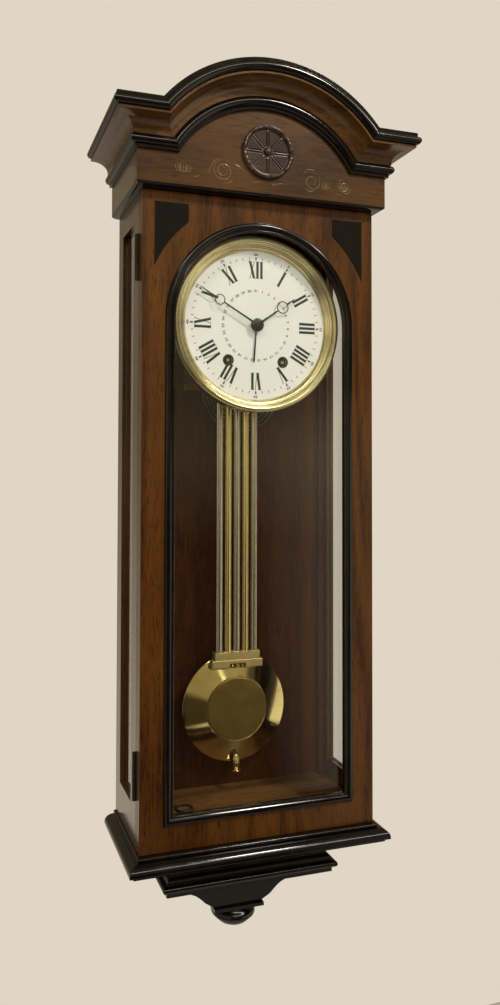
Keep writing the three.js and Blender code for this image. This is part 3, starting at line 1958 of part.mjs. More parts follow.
function addPendulum() {
  const rodsBottom = upperBarBottom + barHeight / 2 + touchGap;
  const names = ["steel_rod_left", "brass_rod_left", "steel_rod_centre", "brass_rod_right", "steel_rod_right"];
  rodPlaces().forEach((x, i) => {
    const rod = rodUpright(rodRadius, x, pendulumOut, rodsBottom, rodTop, roundSteps);
    add(names[i], rod, i % 2 ? brass : steel);
  });
  add("lower_crossbar", lowerCrossbar(), brass);
  const socketFloor = rodTop + touchGap;
  const bar = block(
    -topBarHalfWidth,
    topBarHalfWidth,
    -pendulumOut - barThickness / 2,
    barThickness / 2 - pendulumOut,
    rodTop - topBarHeight / 2,
    rodTop + topBarHeight / 2,
  );
  const sockets = rodPlaces().map((x) =>
    rodUpright(rodRadius + touchGap, x, pendulumOut, rodTop - cutOverrun * 2, socketFloor, roundSteps),
  );
  const stem = rodUpright(
    stemRadius,
    0,
    pendulumOut,
    rodTop + topBarHeight / 4,
    stemTop,
    roundSteps,
  );
  add("top_crossbar_and_stem", shaped(bar, { cut: sockets, join: [stem] }), brass);
  const blade = block(
    -springHalfWidth,
    springHalfWidth,
    -pendulumOut - springThickness / 2,
    springThickness / 2 - pendulumOut,
    stemTop + springBlockHeight - touchGap,
    suspensionHeight,
  );
  const grip = block(
    -springHalfWidth,
    springHalfWidth,
    -pendulumOut - springBlockThickness / 2,
    springBlockThickness / 2 - pendulumOut,
    stemTop + touchGap,
    stemTop + springBlockHeight,
  );
  add("suspension_spring", shaped(grip, { join: [blade] }), steel);
  add("bob", bob(), brass);
  const rod = rodUpright(
    ratingRodRadius,
    0,
    pendulumOut,
    ratingRodBottom,
    lowerBarBottom + barHeight / 2 - touchGap,
  );
  add("rating_rod", rod, steel);
  add("rating_nut", ratingNut(), brass);
}

// The rating nut: an acorn body over a flange, bored for the rating rod.
function ratingNut() {
  const bore = ratingRodRadius + touchGap;
  const profile = nutProfileShares.map(([wide, down]) => [
    Math.max(nutRadius * wide, bore + touchGap),
    nutTop - nutHeight * down,
  ]);
  const neck = nutTop - nutHeight;
  profile.push([nutFlangeRadius, neck]);
  profile.push([nutFlangeRadius, neck - nutFlangeHeight]);
  profile.push([bore + touchGap * 2, neck - nutFlangeHeight]);
  profile.push([bore + touchGap * 2, neck - nutFlangeHeight - nutTipHeight / 3]);
  profile.push([bore, neck - nutFlangeHeight - nutTipHeight / 3]);
  profile.unshift([bore, nutTop]);
  return turnedUpright(profile, 0, pendulumOut, roundSteps);
}

addCarcass();
addHood();
addDoor();
addHinge("upper", upperHingeBottom);
addHinge("lower", lowerHingeBottom);
addBase();
add("dial", dial(), enamel);
add("bezel", bezel(), brass);
addHands();
addMovement();
addPendulum();

clock.position.set(0, 0, -hookHeight);
const wallClock = new THREE.Group();
wallClock.add(clock);

export default wallClock;
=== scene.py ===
import math
import bmesh
import bpy
import numpy as np
from mathutils import Matrix, Vector


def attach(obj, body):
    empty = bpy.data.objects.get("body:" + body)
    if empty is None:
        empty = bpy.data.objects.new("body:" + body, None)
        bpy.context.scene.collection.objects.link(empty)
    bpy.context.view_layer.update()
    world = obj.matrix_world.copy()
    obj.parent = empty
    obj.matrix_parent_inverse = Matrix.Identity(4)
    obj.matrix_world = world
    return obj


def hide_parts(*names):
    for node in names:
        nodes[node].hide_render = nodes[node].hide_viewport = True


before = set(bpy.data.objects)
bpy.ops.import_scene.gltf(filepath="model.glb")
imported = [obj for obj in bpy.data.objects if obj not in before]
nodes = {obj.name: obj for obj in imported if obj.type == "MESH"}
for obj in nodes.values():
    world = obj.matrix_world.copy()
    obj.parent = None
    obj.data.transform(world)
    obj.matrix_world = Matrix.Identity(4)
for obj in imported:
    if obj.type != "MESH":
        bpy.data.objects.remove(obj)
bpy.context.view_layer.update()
mm = 0.001

# The case in millimetres: x to the right, out from the wall, height above the door's foot.
case = dict(
    half=152.0, height=778.0, hook=742.0, front=132.0, dialHeight=626.8, dialOut=109.6,
    sight=111.0, sightFoot=42.0, hoodOut=137.0, archCentre=755.0, archRadius=129.0,
    friezeTop=819.5, pendulumOut=41.0, bobHeight=130.0, floor=20.0,
)


# A place in metres from x, the distance out from the wall and the height, in millimetres.
def atPlace(x, out, height):
    x, out, height = np.broadcast_arrays(x, out, height)
    return np.stack([x, -out, height - case["hook"]], -1) * mm


screen = dict(full=255.0, knee=0.04045, slope=12.92, offset=0.055, power=2.4)


# A linear colour from a screen colour of 0 to 255, by the curve that screens use.
def tone(red, green, blue):
    share = np.array([red, green, blue]) / screen["full"]
    curved = ((share + screen["offset"]) / (1 + screen["offset"])) ** screen["power"]
    return (*np.where(share <= screen["knee"], share / screen["slope"], curved).tolist(), 1.0)


# A node's sockets, each set to a value or linked to another socket.
def fill(tree, node, sockets):
    for name, value in sockets.items():
        if isinstance(value, bpy.types.NodeSocket):
            tree.links.new(value, node.inputs[name])
        else:
            node.inputs[name].default_value = value
    return node


# A shader node with its sockets and its settings.
def put(tree, kind, sockets=None, **settings):
    node = tree.nodes.new("ShaderNode" + kind)
    for name, value in settings.items():
        setattr(node, name, value)
    return fill(tree, node, sockets or {})


# Two colours blended by a factor.
def blendColours(tree, factor, first, second, how="MIX"):
    sockets = {0: factor, 6: first, 7: second}
    return put(tree, "Mix", sockets, data_type="RGBA", blend_type=how).outputs[2]


# A value moved from one range to another, held inside it.
def ranged(tree, value, fromLow, fromHigh, low=0.0, high=1.0):
    sockets = {"Value": value, "From Min": fromLow, "From Max": fromHigh, "To Min": low, "To Max": high}
    return put(tree, "MapRange", sockets).outputs["Result"]


# The result of one operation on two values.
def combine(tree, operation, first, second=0.0):
    return put(tree, "Math", {0: first, 1: second}, operation=operation).outputs[0]


# The product of two values.
def product(tree, first, second):
    return combine(tree, "MULTIPLY", first, second)


# Two vectors combined into one.
def combineVectors(tree, operation, first, second):
    return put(tree, "VectorMath", {0: first, 1: second}, operation=operation).outputs[0]


# The object's own coordinates.
def ownPlace(tree):
    return put(tree, "TexCoord").outputs["Object"]


# The object's own coordinates times a stretch along each axis.
def drawnPlace(tree, stretch):
    return combineVectors(tree, "MULTIPLY", ownPlace(tree), stretch)


# A noise pattern at a place.
def noise(tree, place, scale, detail=2.0, roughness=0.5, warp=0.0):
    sockets = {"Vector": place, "Scale": scale, "Detail": detail, "Roughness": roughness,
               "Distortion": warp}
    return put(tree, "TexNoise", sockets).outputs["Fac"]


# A node group with its inputs and outputs, the sockets it is given and the node that ends it.
def newGroup(name, inputs, outputs):
    group = bpy.data.node_groups.new(name, "ShaderNodeTree")
    for label, kind, value in inputs:
        socket = group.interface.new_socket(label, in_out="INPUT", socket_type="NodeSocket" + kind)
        socket.default_value = value
    for label, kind in outputs:
        group.interface.new_socket(label, in_out="OUTPUT", socket_type="NodeSocket" + kind)
    return group, group.nodes.new("NodeGroupInput").outputs, group.nodes.new("NodeGroupOutput")


# The outputs of a node group used in a material.
def useGroup(tree, group, sockets):
    node = tree.nodes.new("ShaderNodeGroup")
    node.node_tree = group
    return fill(tree, node, sockets).outputs


grain = dict(
    broad=dict(scale=9.0, warp=0.35), ringRange=(-1.0, 1.0),
    streak=dict(scale=270.0, detail=5.0, roughness=0.7, warp=0.4), streakRange=(0.43, 0.57, 0.0, 0.7),
    band=dict(scale=110.0, detail=4.0, roughness=0.62, warp=0.5), bandRange=(0.4, 0.6, 0.0, 0.45),
    cloudScale=11.0, cloudRange=(0.3, 0.7, 0.0, 0.45), poreScale=620.0, poreRange=(0.56, 0.68),
    poreTone=0.7, glossRange=(0.0, 1.0, 0.46, 0.36), streakLift=0.35,
)


# Wood: broad growth rings from the sine of a drawn-out noise, streaks and bands between the
# dark and the middle tone, soft clouds, and short dark pores that lie a little deeper.
def makeWoodGroup():
    group, given, made = newGroup(
        "woodFigure",
        [("Stretch", "Vector", (1, 1, 1)), ("Dark", "Color", (0, 0, 0, 1)), ("Middle", "Color", (0, 0, 0, 1)),
         ("Light", "Color", (0, 0, 0, 1)), ("Rings", "Float", 1.0), ("Figure", "Float", 1.0)],
        [("Color", "Color"), ("Roughness", "Float"), ("Height", "Float")],
    )
    drawn = drawnPlace(group, given["Stretch"])
    wave = combine(group, "SINE", product(group, noise(group, drawn, **grain["broad"]), given["Rings"]))
    rings = ranged(group, wave, *grain["ringRange"])
    streak = ranged(group, noise(group, drawn, **grain["streak"]), *grain["streakRange"])
    band = ranged(group, noise(group, drawn, **grain["band"]), *grain["bandRange"])
    streaks = combine(group, "ADD", streak, band)
    cloud = ranged(group, noise(group, ownPlace(group), grain["cloudScale"]), *grain["cloudRange"])
    pores = ranged(group, noise(group, drawn, grain["poreScale"]), *grain["poreRange"])
    ground = blendColours(group, streaks, given["Dark"], given["Middle"])
    figured = blendColours(group, product(group, rings, given["Figure"]), ground, given["Light"])
    clouded = blendColours(group, cloud, figured, given["Middle"])
    poreShare = product(group, pores, grain["poreTone"])
    fill(group, made, {
        "Color": blendColours(group, poreShare, clouded, given["Dark"]),
        "Roughness": ranged(group, streaks, *grain["glossRange"]),
        "Height": combine(group, "SUBTRACT", product(group, streaks, grain["streakLift"]), pores),
    })
    return group


arris = dict(patch=60.0, detail=5.0, roughness=0.7, patchRange=(0.38, 0.62))


# Edge wear and painted edge highlight: the mesh's wear attribute times a broken noise times an amount.
def makeWearGroup():
    group, given, made = newGroup(
        "arrisWearAndGlint", [("Amount", "Float", 1.0), ("Patch", "Float", arris["patch"])], [("Mask", "Float")]
    )
    mark = put(group, "Attribute", attribute_name="wear").outputs["Fac"]
    patch = noise(group, ownPlace(group), given["Patch"], arris["detail"], arris["roughness"])
    broken = ranged(group, patch, *arris["patchRange"])
    fill(group, made, {"Mask": product(group, product(group, mark, broken), given["Amount"])})
    return group


handling = dict(detail=6.0, roughness=0.6, share=(0.35, 0.68), fineScale=1400.0, lift=0.4, fineLift=0.2)


# Handling: a haze of dust and finger marks, whose share moves the roughness from low to high
# and, with a finer noise, lifts the surface a little.
def makeHazeGroup():
    group, given, made = newGroup(
        "surfaceHaze", [("Scale", "Float", 1.0), ("Low", "Float", 0.0), ("High", "Float", 1.0)],
        [("Mask", "Float"), ("Roughness", "Float"), ("Height", "Float")],
    )
    place = ownPlace(group)
    large = noise(group, place, given["Scale"], handling["detail"], handling["roughness"])
    small = noise(group, place, handling["fineScale"])
    share = ranged(group, large, *handling["share"])
    span = combine(group, "SUBTRACT", given["High"], given["Low"])
    lifts = product(group, share, handling["lift"]), product(group, small, handling["fineLift"])
    fill(group, made, {
        "Mask": share,
        "Roughness": combine(group, "ADD", given["Low"], product(group, share, span)),
        "Height": combine(group, "ADD", *lifts),
    })
    return group


woodGroup, wearAndGlintGroup, hazeGroup = makeWoodGroup(), makeWearGroup(), makeHazeGroup()


# The outputs of a haze of one scale whose roughness runs from low to high.
def hazed(tree, scale, low, high):
    return useGroup(tree, hazeGroup, {"Scale": scale, "Low": low, "High": high})


# The mask of edge wear, which on metal and on the rosette's crests also paints a highlight.
def worn(tree, amount, patch=arris["patch"]):
    return useGroup(tree, wearAndGlintGroup, {"Amount": amount, "Patch": patch})["Mask"]


# A new material and its tree of nodes.
def newMaterial(name):
    material = bpy.data.materials.new(name)
    material.use_nodes = True
    return material, material.node_tree


socketNames = dict(
    colour="Base Color", metal="Metallic", roughness="Roughness", coat="Coat Weight",
    coatRoughness="Coat Roughness", specular="Specular IOR Level", through="Transmission Weight",
    bend="IOR", normal="Normal",
)


# A material's shader with its sockets set by plain names.
def setShader(tree, **sockets):
    named = {socketNames[name]: value for name, value in sockets.items()}
    return fill(tree, tree.nodes["Principled BSDF"], named)


# The normal that a height of some strength and depth in metres gives.
def bumped(tree, height, strength, depth=0.0003):
    return put(tree, "Bump", {"Height": height, "Strength": strength, "Distance": depth}).outputs["Normal"]


wood = dict(specular=0.06, coatRoughness=0.14, depth=0.00015)


# A polished wood: a matt ground under a narrow coat, lighter where its edges show wear; on the carved rosette
# that lighter tone on the crests is a painted highlight.
def woodMaterial(name, dark, middle, light, stretch, rings, figure, coat=0.75, bump=0.25, wear=0.3):
    material, tree = newMaterial(name)
    dark, middle, light = tone(*dark), tone(*middle), tone(*light)
    made = useGroup(tree, woodGroup, {"Stretch": stretch, "Dark": dark, "Middle": middle, "Light": light,
                                      "Rings": rings, "Figure": figure})
    setShader(
        tree, colour=blendColours(tree, worn(tree, wear), made["Color"], light),
        roughness=made["Roughness"], specular=wood["specular"], coat=coat,
        coatRoughness=wood["coatRoughness"], normal=bumped(tree, made["Height"], bump, wood["depth"]),
    )
    return material


ebony = dict(
    scale=45.0, low=0.07, high=0.15, amount=0.55, patch=38.0, black=(5, 4, 4), grey=(13, 10, 8),
    bare=(70, 44, 28), specular=0.32, bump=0.03,
)


# Ebonised wood: near black with a hand-rubbed gloss, brown where the polish has gone.
def ebonisedMaterial():
    material, tree = newMaterial("ebonisedWood")
    haze = hazed(tree, ebony["scale"], ebony["low"], ebony["high"])
    black = blendColours(tree, haze["Mask"], tone(*ebony["black"]), tone(*ebony["grey"]))
    mask = worn(tree, ebony["amount"], ebony["patch"])
    setShader(tree, colour=blendColours(tree, mask, black, tone(*ebony["bare"])), roughness=haze["Roughness"],
              specular=ebony["specular"], normal=bumped(tree, haze["Height"], ebony["bump"]))
    return material


metal = dict(haze=28.0, turnedHaze=22.0, wear=0.5, detail=3.0, depth=0.0001)
unstretched, rodLines = (1.0, 1.0, 1.0), (1.0, 1.0, 0.02)


# Metal: two tones of patina, fine brush lines drawn out along one axis, a soft haze, and edges
# with wear in the bright tone, partly rubbed metal and partly a painted highlight of edges that
# catch the light.
def metalMaterial(name, bright, dull, low, high, bump, stretch=unstretched, lines=600.0, share=1.0):
    material, tree = newMaterial(name)
    haze = hazed(tree, metal["haze"], low, high)
    brush = noise(tree, drawnPlace(tree, stretch), lines, metal["detail"])
    patina = blendColours(tree, haze["Mask"], tone(*bright), tone(*dull))
    # painted highlight: edges go to the bright tone, partly rubbed metal and partly edges catching the light
    colour = blendColours(tree, worn(tree, metal["wear"]), patina, tone(*bright))
    setShader(tree, colour=colour, metal=share, roughness=haze["Roughness"],
              normal=bumped(tree, brush, bump, metal["depth"]))
    return material


# Turned metal: rings of tool marks, a noise of the distance from a centre line over a pitch.
def turnedMaterial(name, bright, dull, low, high, height, pitch, bump, marks):
    material, tree = newMaterial(name)
    haze = hazed(tree, metal["turnedHaze"], low, high)
    moved = combineVectors(tree, "SUBTRACT", ownPlace(tree), tuple(atPlace(0, 0, height)))
    flat = combineVectors(tree, "MULTIPLY", moved, (1.0, 0.0, 1.0))
    radius = put(tree, "VectorMath", {0: flat}, operation="LENGTH").outputs["Value"]
    sockets = {"W": product(tree, radius, 1.0 / pitch), "Scale": 1.0, "Detail": metal["detail"]}
    rings = put(tree, "TexNoise", sockets, noise_dimensions="1D").outputs["Fac"]
    patina = blendColours(tree, haze["Mask"], tone(*bright), tone(*dull))
    setShader(tree, colour=blendColours(tree, product(tree, rings, marks), patina, tone(*dull)), metal=1.0,
              roughness=haze["Roughness"], normal=bumped(tree, rings, bump, metal["depth"]))
    return material


pane = dict(tint=(0.97, 0.985, 0.97, 1), clear=(0.97, 0.98, 0.97, 1), bend=1.45, waves=9.0,
            stretch=(1.0, 1.0, 0.6), detail=1.0, bump=0.02, depth=0.003)


# Pane glass: clear, a little wavy, and open to the light that falls through it.
def glassMaterial():
    material, tree = newMaterial("paneGlass")
    waves = noise(tree, drawnPlace(tree, pane["stretch"]), pane["waves"], pane["detail"])
    shader = setShader(tree, colour=pane["tint"], roughness=0.0, through=1.0, bend=pane["bend"],
                       normal=bumped(tree, waves, pane["bump"], pane["depth"]))
    clear = put(tree, "BsdfTransparent", {"Color": pane["clear"]})
    path = put(tree, "LightPath").outputs
    lit = combine(tree, "MAXIMUM", path["Is Shadow Ray"], path["Is Diffuse Ray"])
    mixed = put(tree, "MixShader", {0: lit, 1: shader.outputs[0], 2: clear.outputs[0]})
    fill(tree, tree.nodes["Material Output"], {"Surface": mixed.outputs[0]})
    return material


paint = dict(
    scale=18.0, low=0.3, high=0.42, white=(228, 226, 220), stain=(222, 219, 210), cells=70.0,
    craze=(0.0, 0.012, 0.1, 0.0), crack=(190, 180, 158), coat=0.25, coatRoughness=0.2, bump=0.05,
)


# Dial paint: a warm white with faint stains, and hairline crazes where two cells meet.
def dialMaterial():
    material, tree = newMaterial("dialPaint")
    haze = hazed(tree, paint["scale"], paint["low"], paint["high"])
    stained = blendColours(tree, haze["Mask"], tone(*paint["white"]), tone(*paint["stain"]))
    cells = put(tree, "TexVoronoi", {"Vector": ownPlace(tree), "Scale": paint["cells"]},
                feature="DISTANCE_TO_EDGE").outputs["Distance"]
    craze = ranged(tree, cells, *paint["craze"])
    setShader(tree, colour=blendColours(tree, craze, stained, tone(*paint["crack"])),
              roughness=haze["Roughness"], coat=paint["coat"], coatRoughness=paint["coatRoughness"],
              normal=bumped(tree, haze["Height"], paint["bump"]))
    return material


printing = dict(scale=260.0, detail=4.0, roughness=0.7, thin=(0.4, 0.75), gloss=(0.3, 0.7, 0.3, 0.5),
                bump=0.1, depth=0.0001)


# Printed black: a noise moves it from its strong tone to a thin one.
def inkMaterial(name, strong, thin):
    material, tree = newMaterial(name)
    patch = noise(tree, ownPlace(tree), printing["scale"], printing["detail"], printing["roughness"])
    share = ranged(tree, patch, *printing["thin"])
    setShader(tree, colour=blendColours(tree, share, tone(*strong), tone(*thin)),
              roughness=ranged(tree, patch, *printing["gloss"]),
              normal=bumped(tree, patch, printing["bump"], printing["depth"]))
    return material


# Each wood: its name, its dark, middle and light screen colours, how its grain is drawn out,
# its number of rings and their share, and where they differ its coat, its bump and its wear.
upright, across = (1.0, 1.0, 0.1), (0.1, 1.0, 1.0)
woods = dict(
    case=("rosewoodUpright", (26, 11, 2), (70, 37, 7), (104, 64, 18), upright, 60, 0.5, 0.6),
    frieze=("rosewoodAcross", (26, 12, 3), (65, 38, 11), (94, 62, 22), across, 40, 0.45),
    cove=("rosewoodCove", (38, 21, 7), (80, 50, 19), (116, 78, 36), across, 40, 0.4),
    side=("rosewoodSide", (28, 15, 5), (52, 30, 12), (78, 49, 22), upright, 44, 0.4, 1.0),
    back=("stainedBack", (34, 14, 6), (64, 30, 12), (86, 45, 20), upright, 30, 0.3, 0.0),
    top=("stainedTop", (26, 14, 9), (50, 28, 17), (74, 44, 27), across, 30, 0.3, 0.0),
    floor=("waxedFloor", (42, 25, 11), (89, 59, 30), (136, 99, 57), across, 50, 0.5, 0.3),
    # the carved look's light tone, put on the rosette's crests by the wear mark, is a painted highlight
    carved=("carvedWood", (20, 11, 7), (42, 26, 17), (112, 84, 64), across, 30, 0.3, 0.75, 0.1, 0.4),
    # the scrolls' lighter wood is a painted highlight for light caught in cut grooves
    scrollHighlight=("scrollHighlightWood", (78, 61, 40), (114, 93, 66), (146, 124, 96), across, 30, 0.3, 0.4),
)
# Each metal: its name, its bright and dull screen colours, its least and greatest roughness and
# its bump, and where they differ how its lines are drawn out, their scale and its metal share.
metals = dict(
    brass=("brass", (224, 206, 150), (186, 166, 110), 0.2, 0.34, 0.04),
    brassRod=("brassRod", (236, 217, 152), (226, 206, 142), 0.16, 0.22, 0.01, rodLines, 1500.0),
    steel=("steel", (200, 194, 180), (188, 181, 166), 0.16, 0.22, 0.01, rodLines, 1500.0),
    hand=("blackenedSteel", (52, 46, 40), (30, 27, 24), 0.34, 0.5, 0.08, unstretched, 600.0, 0.7),
    iron=("castIron", (60, 58, 56), (36, 35, 34), 0.5, 0.65, 0.3, unstretched, 300.0, 0.8),
    gong=("gongSteel", (118, 117, 114), (88, 86, 82), 0.25, 0.36, 0.05, unstretched, 300.0),
    barBrass=("barBrass", (222, 202, 140), (190, 168, 106), 0.3, 0.42, 0.04, unstretched, 600.0, 0.88),
)
# Each turned metal: the same up to its roughness, then the height of its centre line, the pitch
# of its tool marks in metres, its bump and the strength of the marks.
dialHeight, bobHeight = case["dialHeight"], case["bobHeight"]
turnedMetals = dict(
    bezel=("bezelBrass", (224, 214, 172), (198, 186, 138), 0.11, 0.2, dialHeight, 0.0009, 0.04, 0.25),
    bob=("bobBrass", (228, 212, 154), (192, 174, 116), 0.07, 0.13, bobHeight, 0.0007, 0.02, 0.3),
    bobDisc=("bobDiscBrass", (146, 126, 70), (112, 92, 46), 0.36, 0.5, bobHeight, 0.0011, 0.08, 0.5),
)
looks = {look: woodMaterial(*row) for look, row in woods.items()}
looks.update({look: metalMaterial(*row) for look, row in metals.items()})
looks.update({look: turnedMaterial(*row) for look, row in turnedMetals.items()})
looks.update(
    ebonised=ebonisedMaterial(), glass=glassMaterial(), dial=dialMaterial(),
    ink=inkMaterial("dialInk", (17, 14, 12), (34, 29, 25)),
    fineInk=inkMaterial("dialFineInk", (56, 50, 43), (96, 88, 76)),
)
print("materials made:", len(looks))

# How near points are merged (metres), how short an edge counts as none (millimetres), the
# share of an edge that a rounded corner may take, and the angles in degrees up to which faces
# are joined, from which edges are bevelled, and from which they stay sharp.
joining = dict(merge=1e-7, mergeFacets=2e-6, tiny=1e-9, shortest=1e-6, cornerShare=0.45,
               flat=0.5, bevel=35.0, sharp=38.0, softSharp=50.0, wear=0.6)


# Equal angles round a circle.
def circle(steps):
    return np.linspace(0, 2 * np.pi, steps, endpoint=False)


# Angles from nothing to a right angle.
def quarter(steps):
    return np.linspace(0, np.pi / 2, steps)


# Values held between nothing and one.
def held(values):
    return np.clip(values, 0, 1)


# The length of each vector, kept as a column.
def lengths(vectors):
    return np.linalg.norm(vectors, axis=1, keepdims=True)


# The faces of a grid of points, row by row, that may close on itself either way.
def gridFaces(rows, columns, closeRows, closeColumns):
    row = np.arange(rows if closeRows else rows - 1)[:, None]
    column = np.arange(columns if closeColumns else columns - 1)[None, :]
    above, beside = (row + 1) % rows * columns, (column + 1) % columns
    row = row * columns
    return np.stack([row + column, row + beside, above + beside, above + column], -1).reshape(-1, 4).tolist()


# One closed part of a piece: its points, its faces and the wear at each point.
def gridPart(grid, closeRows=False, closeColumns=True, wear=0.0):
    rows, columns = grid.shape[:2]
    faces = gridFaces(rows, columns, closeRows, closeColumns)
    if not closeRows:
        faces.append(list(range(columns)))
        faces.append(list(range((rows - 1) * columns, rows * columns)))
    return grid.reshape(-1, 3), faces, np.broadcast_to(wear, (rows, columns)).reshape(-1)


# How many points a rounded corner has, on most pieces and on the small ones.
cornerSteps, fewSteps = 4, 3


# Each corner of a line of points is swapped for a short curve between two points beside it.
def rounded(points, radius, steps=cornerSteps, closed=True):
    points = np.asarray(points, float)
    before, after = np.roll(points, 1, 0) - points, np.roll(points, -1, 0) - points
    shorter = np.minimum(lengths(before), lengths(after))
    cut = np.minimum(radius, joining["cornerShare"] * shorter)
    first = points + before / np.maximum(lengths(before), joining["tiny"]) * cut
    second = points + after / np.maximum(lengths(after), joining["tiny"]) * cut
    t = np.linspace(0, 1, steps)[None, :, None]
    curve = first[:, None] * (1 - t) ** 2 + points[:, None] * 2 * t * (1 - t) + second[:, None] * t**2
    if closed:
        return curve.reshape(-1, points.shape[1])
    return np.concatenate([points[:1], curve[1:-1].reshape(-1, points.shape[1]), points[-1:]])


# Wear at each point of a closed section: how tightly it turns outwards there.
def sectionWear(section):
    before, after = section - np.roll(section, 1, 0), np.roll(section, -1, 0) - section
    turn = np.arctan2(before[:, 0] * after[:, 1] - before[:, 1] * after[:, 0], (before * after).sum(1))
    length = (lengths(before) + lengths(after))[:, 0] / 2
    ahead = np.roll(section, -1, 0)
    side = np.sign((section[:, 0] * ahead[:, 1] - section[:, 1] * ahead[:, 0]).sum())
    return held(side * turn / np.maximum(length, joining["shortest"]) * joining["wear"])


# A mesh of closed parts, its doubles merged and its normals outwards.
def partsMesh(name, parts):
    faces, offset = [], 0
    for points, partFaces, _ in parts:
        faces += [[index + offset for index in face] for face in partFaces]
        offset += len(points)
    mesh = bpy.data.meshes.new(name)
    mesh.from_pydata(np.concatenate([part[0] for part in parts]).tolist(), [], faces)
    wear = np.concatenate([part[2] for part in parts]).astype(np.float32)
    mesh.attributes.new("wear", "FLOAT", "POINT").data.foreach_set("value", wear)
    joined = bmesh.new()
    joined.from_mesh(mesh)
    bmesh.ops.remove_doubles(joined, verts=joined.verts, dist=joining["merge"])
    bmesh.ops.dissolve_degenerate(joined, edges=joined.edges, dist=joining["merge"])
    bmesh.ops.recalc_face_normals(joined, faces=joined.faces)
    joined.to_mesh(mesh)
    joined.free()
    return mesh


# Smooth shading that breaks where two faces meet at more than an angle.
def shadeSmooth(mesh, sharp):
    mesh.polygons.foreach_set("use_smooth", np.ones(len(mesh.polygons), bool))
    mesh.set_sharp_from_angle(angle=math.radians(sharp))


# A new object of the scene from its data.
def newObject(name, data):
    made = bpy.data.objects.new(name, data)
    bpy.context.scene.collection.objects.link(made)
    return made


# An object with its shading, material and body, and the node that it replaces; the slot it is given is not
# used.
def finishPiece(name, mesh, look, body, node, sharp, flatten=True, slot=None):
    piece = newObject(name, mesh)
    shadeSmooth(mesh, sharp)
    mesh.materials.clear()
    mesh.materials.append(looks[look])
    if flatten:
        piece.modifiers.new("flatFaces", "WEIGHTED_NORMAL").keep_sharp = True
    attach(piece, body)
    if node:
        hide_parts(node)
    return piece


# A piece made of closed parts.
def makePiece(name, parts, look, body="case", node=None, sharp=joining["sharp"], **rest):
    return finishPiece(name, partsMesh(name, parts), look, body, node, sharp, **rest)


# The name of a node with its words run together.
def pieceName(node):
    first, *others = node.split("_")
    return first + "".join(word.title() for word in others)


# A copy of a solid with its facets joined and its edges broken by a small bevel.
def softened(node, look, body="case", bevel=0.6, steps=2, name=None):
    name = name or pieceName(node)
    mesh = nodes[node].data.copy()
    mesh.name = name
    soft = bmesh.new()
    soft.from_mesh(mesh)
    mark = soft.faces.layers.float.new("wear")
    bmesh.ops.remove_doubles(soft, verts=soft.verts, dist=joining["mergeFacets"])
    flat, least = math.radians(joining["flat"]), math.radians(joining["bevel"])
    bmesh.ops.dissolve_limit(soft, angle_limit=flat, verts=soft.verts, edges=soft.edges)
    edges = [edge for edge in soft.edges if len(edge.link_faces) == 2 and edge.calc_face_angle(0) > least]
    made = bmesh.ops.bevel(soft, geom=edges, offset=bevel * mm, segments=steps, affect="EDGES",
                           profile=0.5, clamp_overlap=True)
    for face in made["faces"]:
        face[mark] = 1.0
    soft.to_mesh(mesh)
    soft.free()
    finishPiece(name, mesh, look, body, node, joining["softSharp"])


# A profile of radius and distance along, turned about a line that runs out from the wall at
# one height, or about an upright line at one distance out.
def turned(profile, x, level, steps, wear=0.0, standing=False):
    angle = circle(steps)[:, None]
    radius, along = np.asarray(profile, float).T
    along, level = along + angle * 0, level + np.sin(angle) * radius
    out, height = (level, along) if standing else (along, level)
    return gridPart(atPlace(x + np.cos(angle) * radius, out, height), closeRows=True, wear=wear)


# A flattened round section carried along a line of points, its width times a taper.
def tube(path, width, relief, sides, taper=1.0):
    ahead = np.roll(path, -1, 0) - np.roll(path, 1, 0)
    ahead[0], ahead[-1] = path[1] - path[0], path[-1] - path[-2]
    outward = np.array([0.0, 1.0, 0.0])
    side = np.cross(ahead / lengths(ahead), outward)
    side /= lengths(side)
    angle = circle(sides)[None, :, None]
    width = width * np.broadcast_to(taper, len(path))[:, None, None]
    grid = path[:, None] + side[:, None] * np.cos(angle) * width + outward * np.sin(angle) * relief
    return gridPart(atPlace(*np.moveaxis(grid, -1, 0)))


# A half-round bead that bulges outwards, from its foot to its head.
def beadArc(projection, bottom, radius, steps=18):
    angle = np.linspace(-np.pi / 2, np.pi / 2, steps)
    return np.stack([projection + np.cos(angle) * radius, bottom + radius + np.sin(angle) * radius], -1)


# A section carried from the wall along the left side, over what lies between, and back along
# the right side.
def roundCase(side, front, height, between=()):
    wall = 0 * front
    left = [atPlace(-side, wall, height), atPlace(-side, front, height)]
    right = [atPlace(side, front, height), atPlace(side, wall, height)]
    return np.stack([*left, *between, *right])


# The hood's sections as projection and height, up to and after their curved part. A bead has
# its projection, foot and radius, and the cove its start, foot, reach and rise.
hood = dict(
    projection=10.5, friezeFoot=781.6, boardTop=864.0, archSteps=120, hollowSteps=16, arris=0.45,
    beadFoot=[(10.5, 819.5), (14.0, 819.5)], bead=(14.0, 823.0, 5.5), beadHead=[(10.5, 834.0)],
    coveFoot=[(10.5, 834.3), (16.5, 834.3)], cove=(16.5, 838.0, 20.5, 14.0),
    coveHead=[(39.0, 852.0), (39.0, 855.0), (10.5, 855.0)], crownFoot=[(10.5, 855.3)],
    crown=(38.75, 855.3, 5.3),
    crownHead=[(40.3, 865.9), (40.3, 870.5), (-1.5, 870.5), (-1.5, 864.3), (10.5, 864.3)],
)


# A section of projection and height carried round the hood: its arch keeps the section's
# height as a radius, and starts where that radius meets the straight part.
def hoodPath(section):
    reach, height = section.T
    radius = case["archRadius"] + height - case["friezeTop"]
    cusp = np.arcsin((height - case["archCentre"]) / radius)
    share = np.linspace(0, 1, hood["archSteps"])[:, None]
    angle = (np.pi - cusp) + (2 * cusp - np.pi) * share
    front = case["hoodOut"] + reach
    arch = atPlace(np.cos(angle) * radius, front, case["archCentre"] + np.sin(angle) * radius)
    return roundCase(case["half"] + reach, front, height, arch)


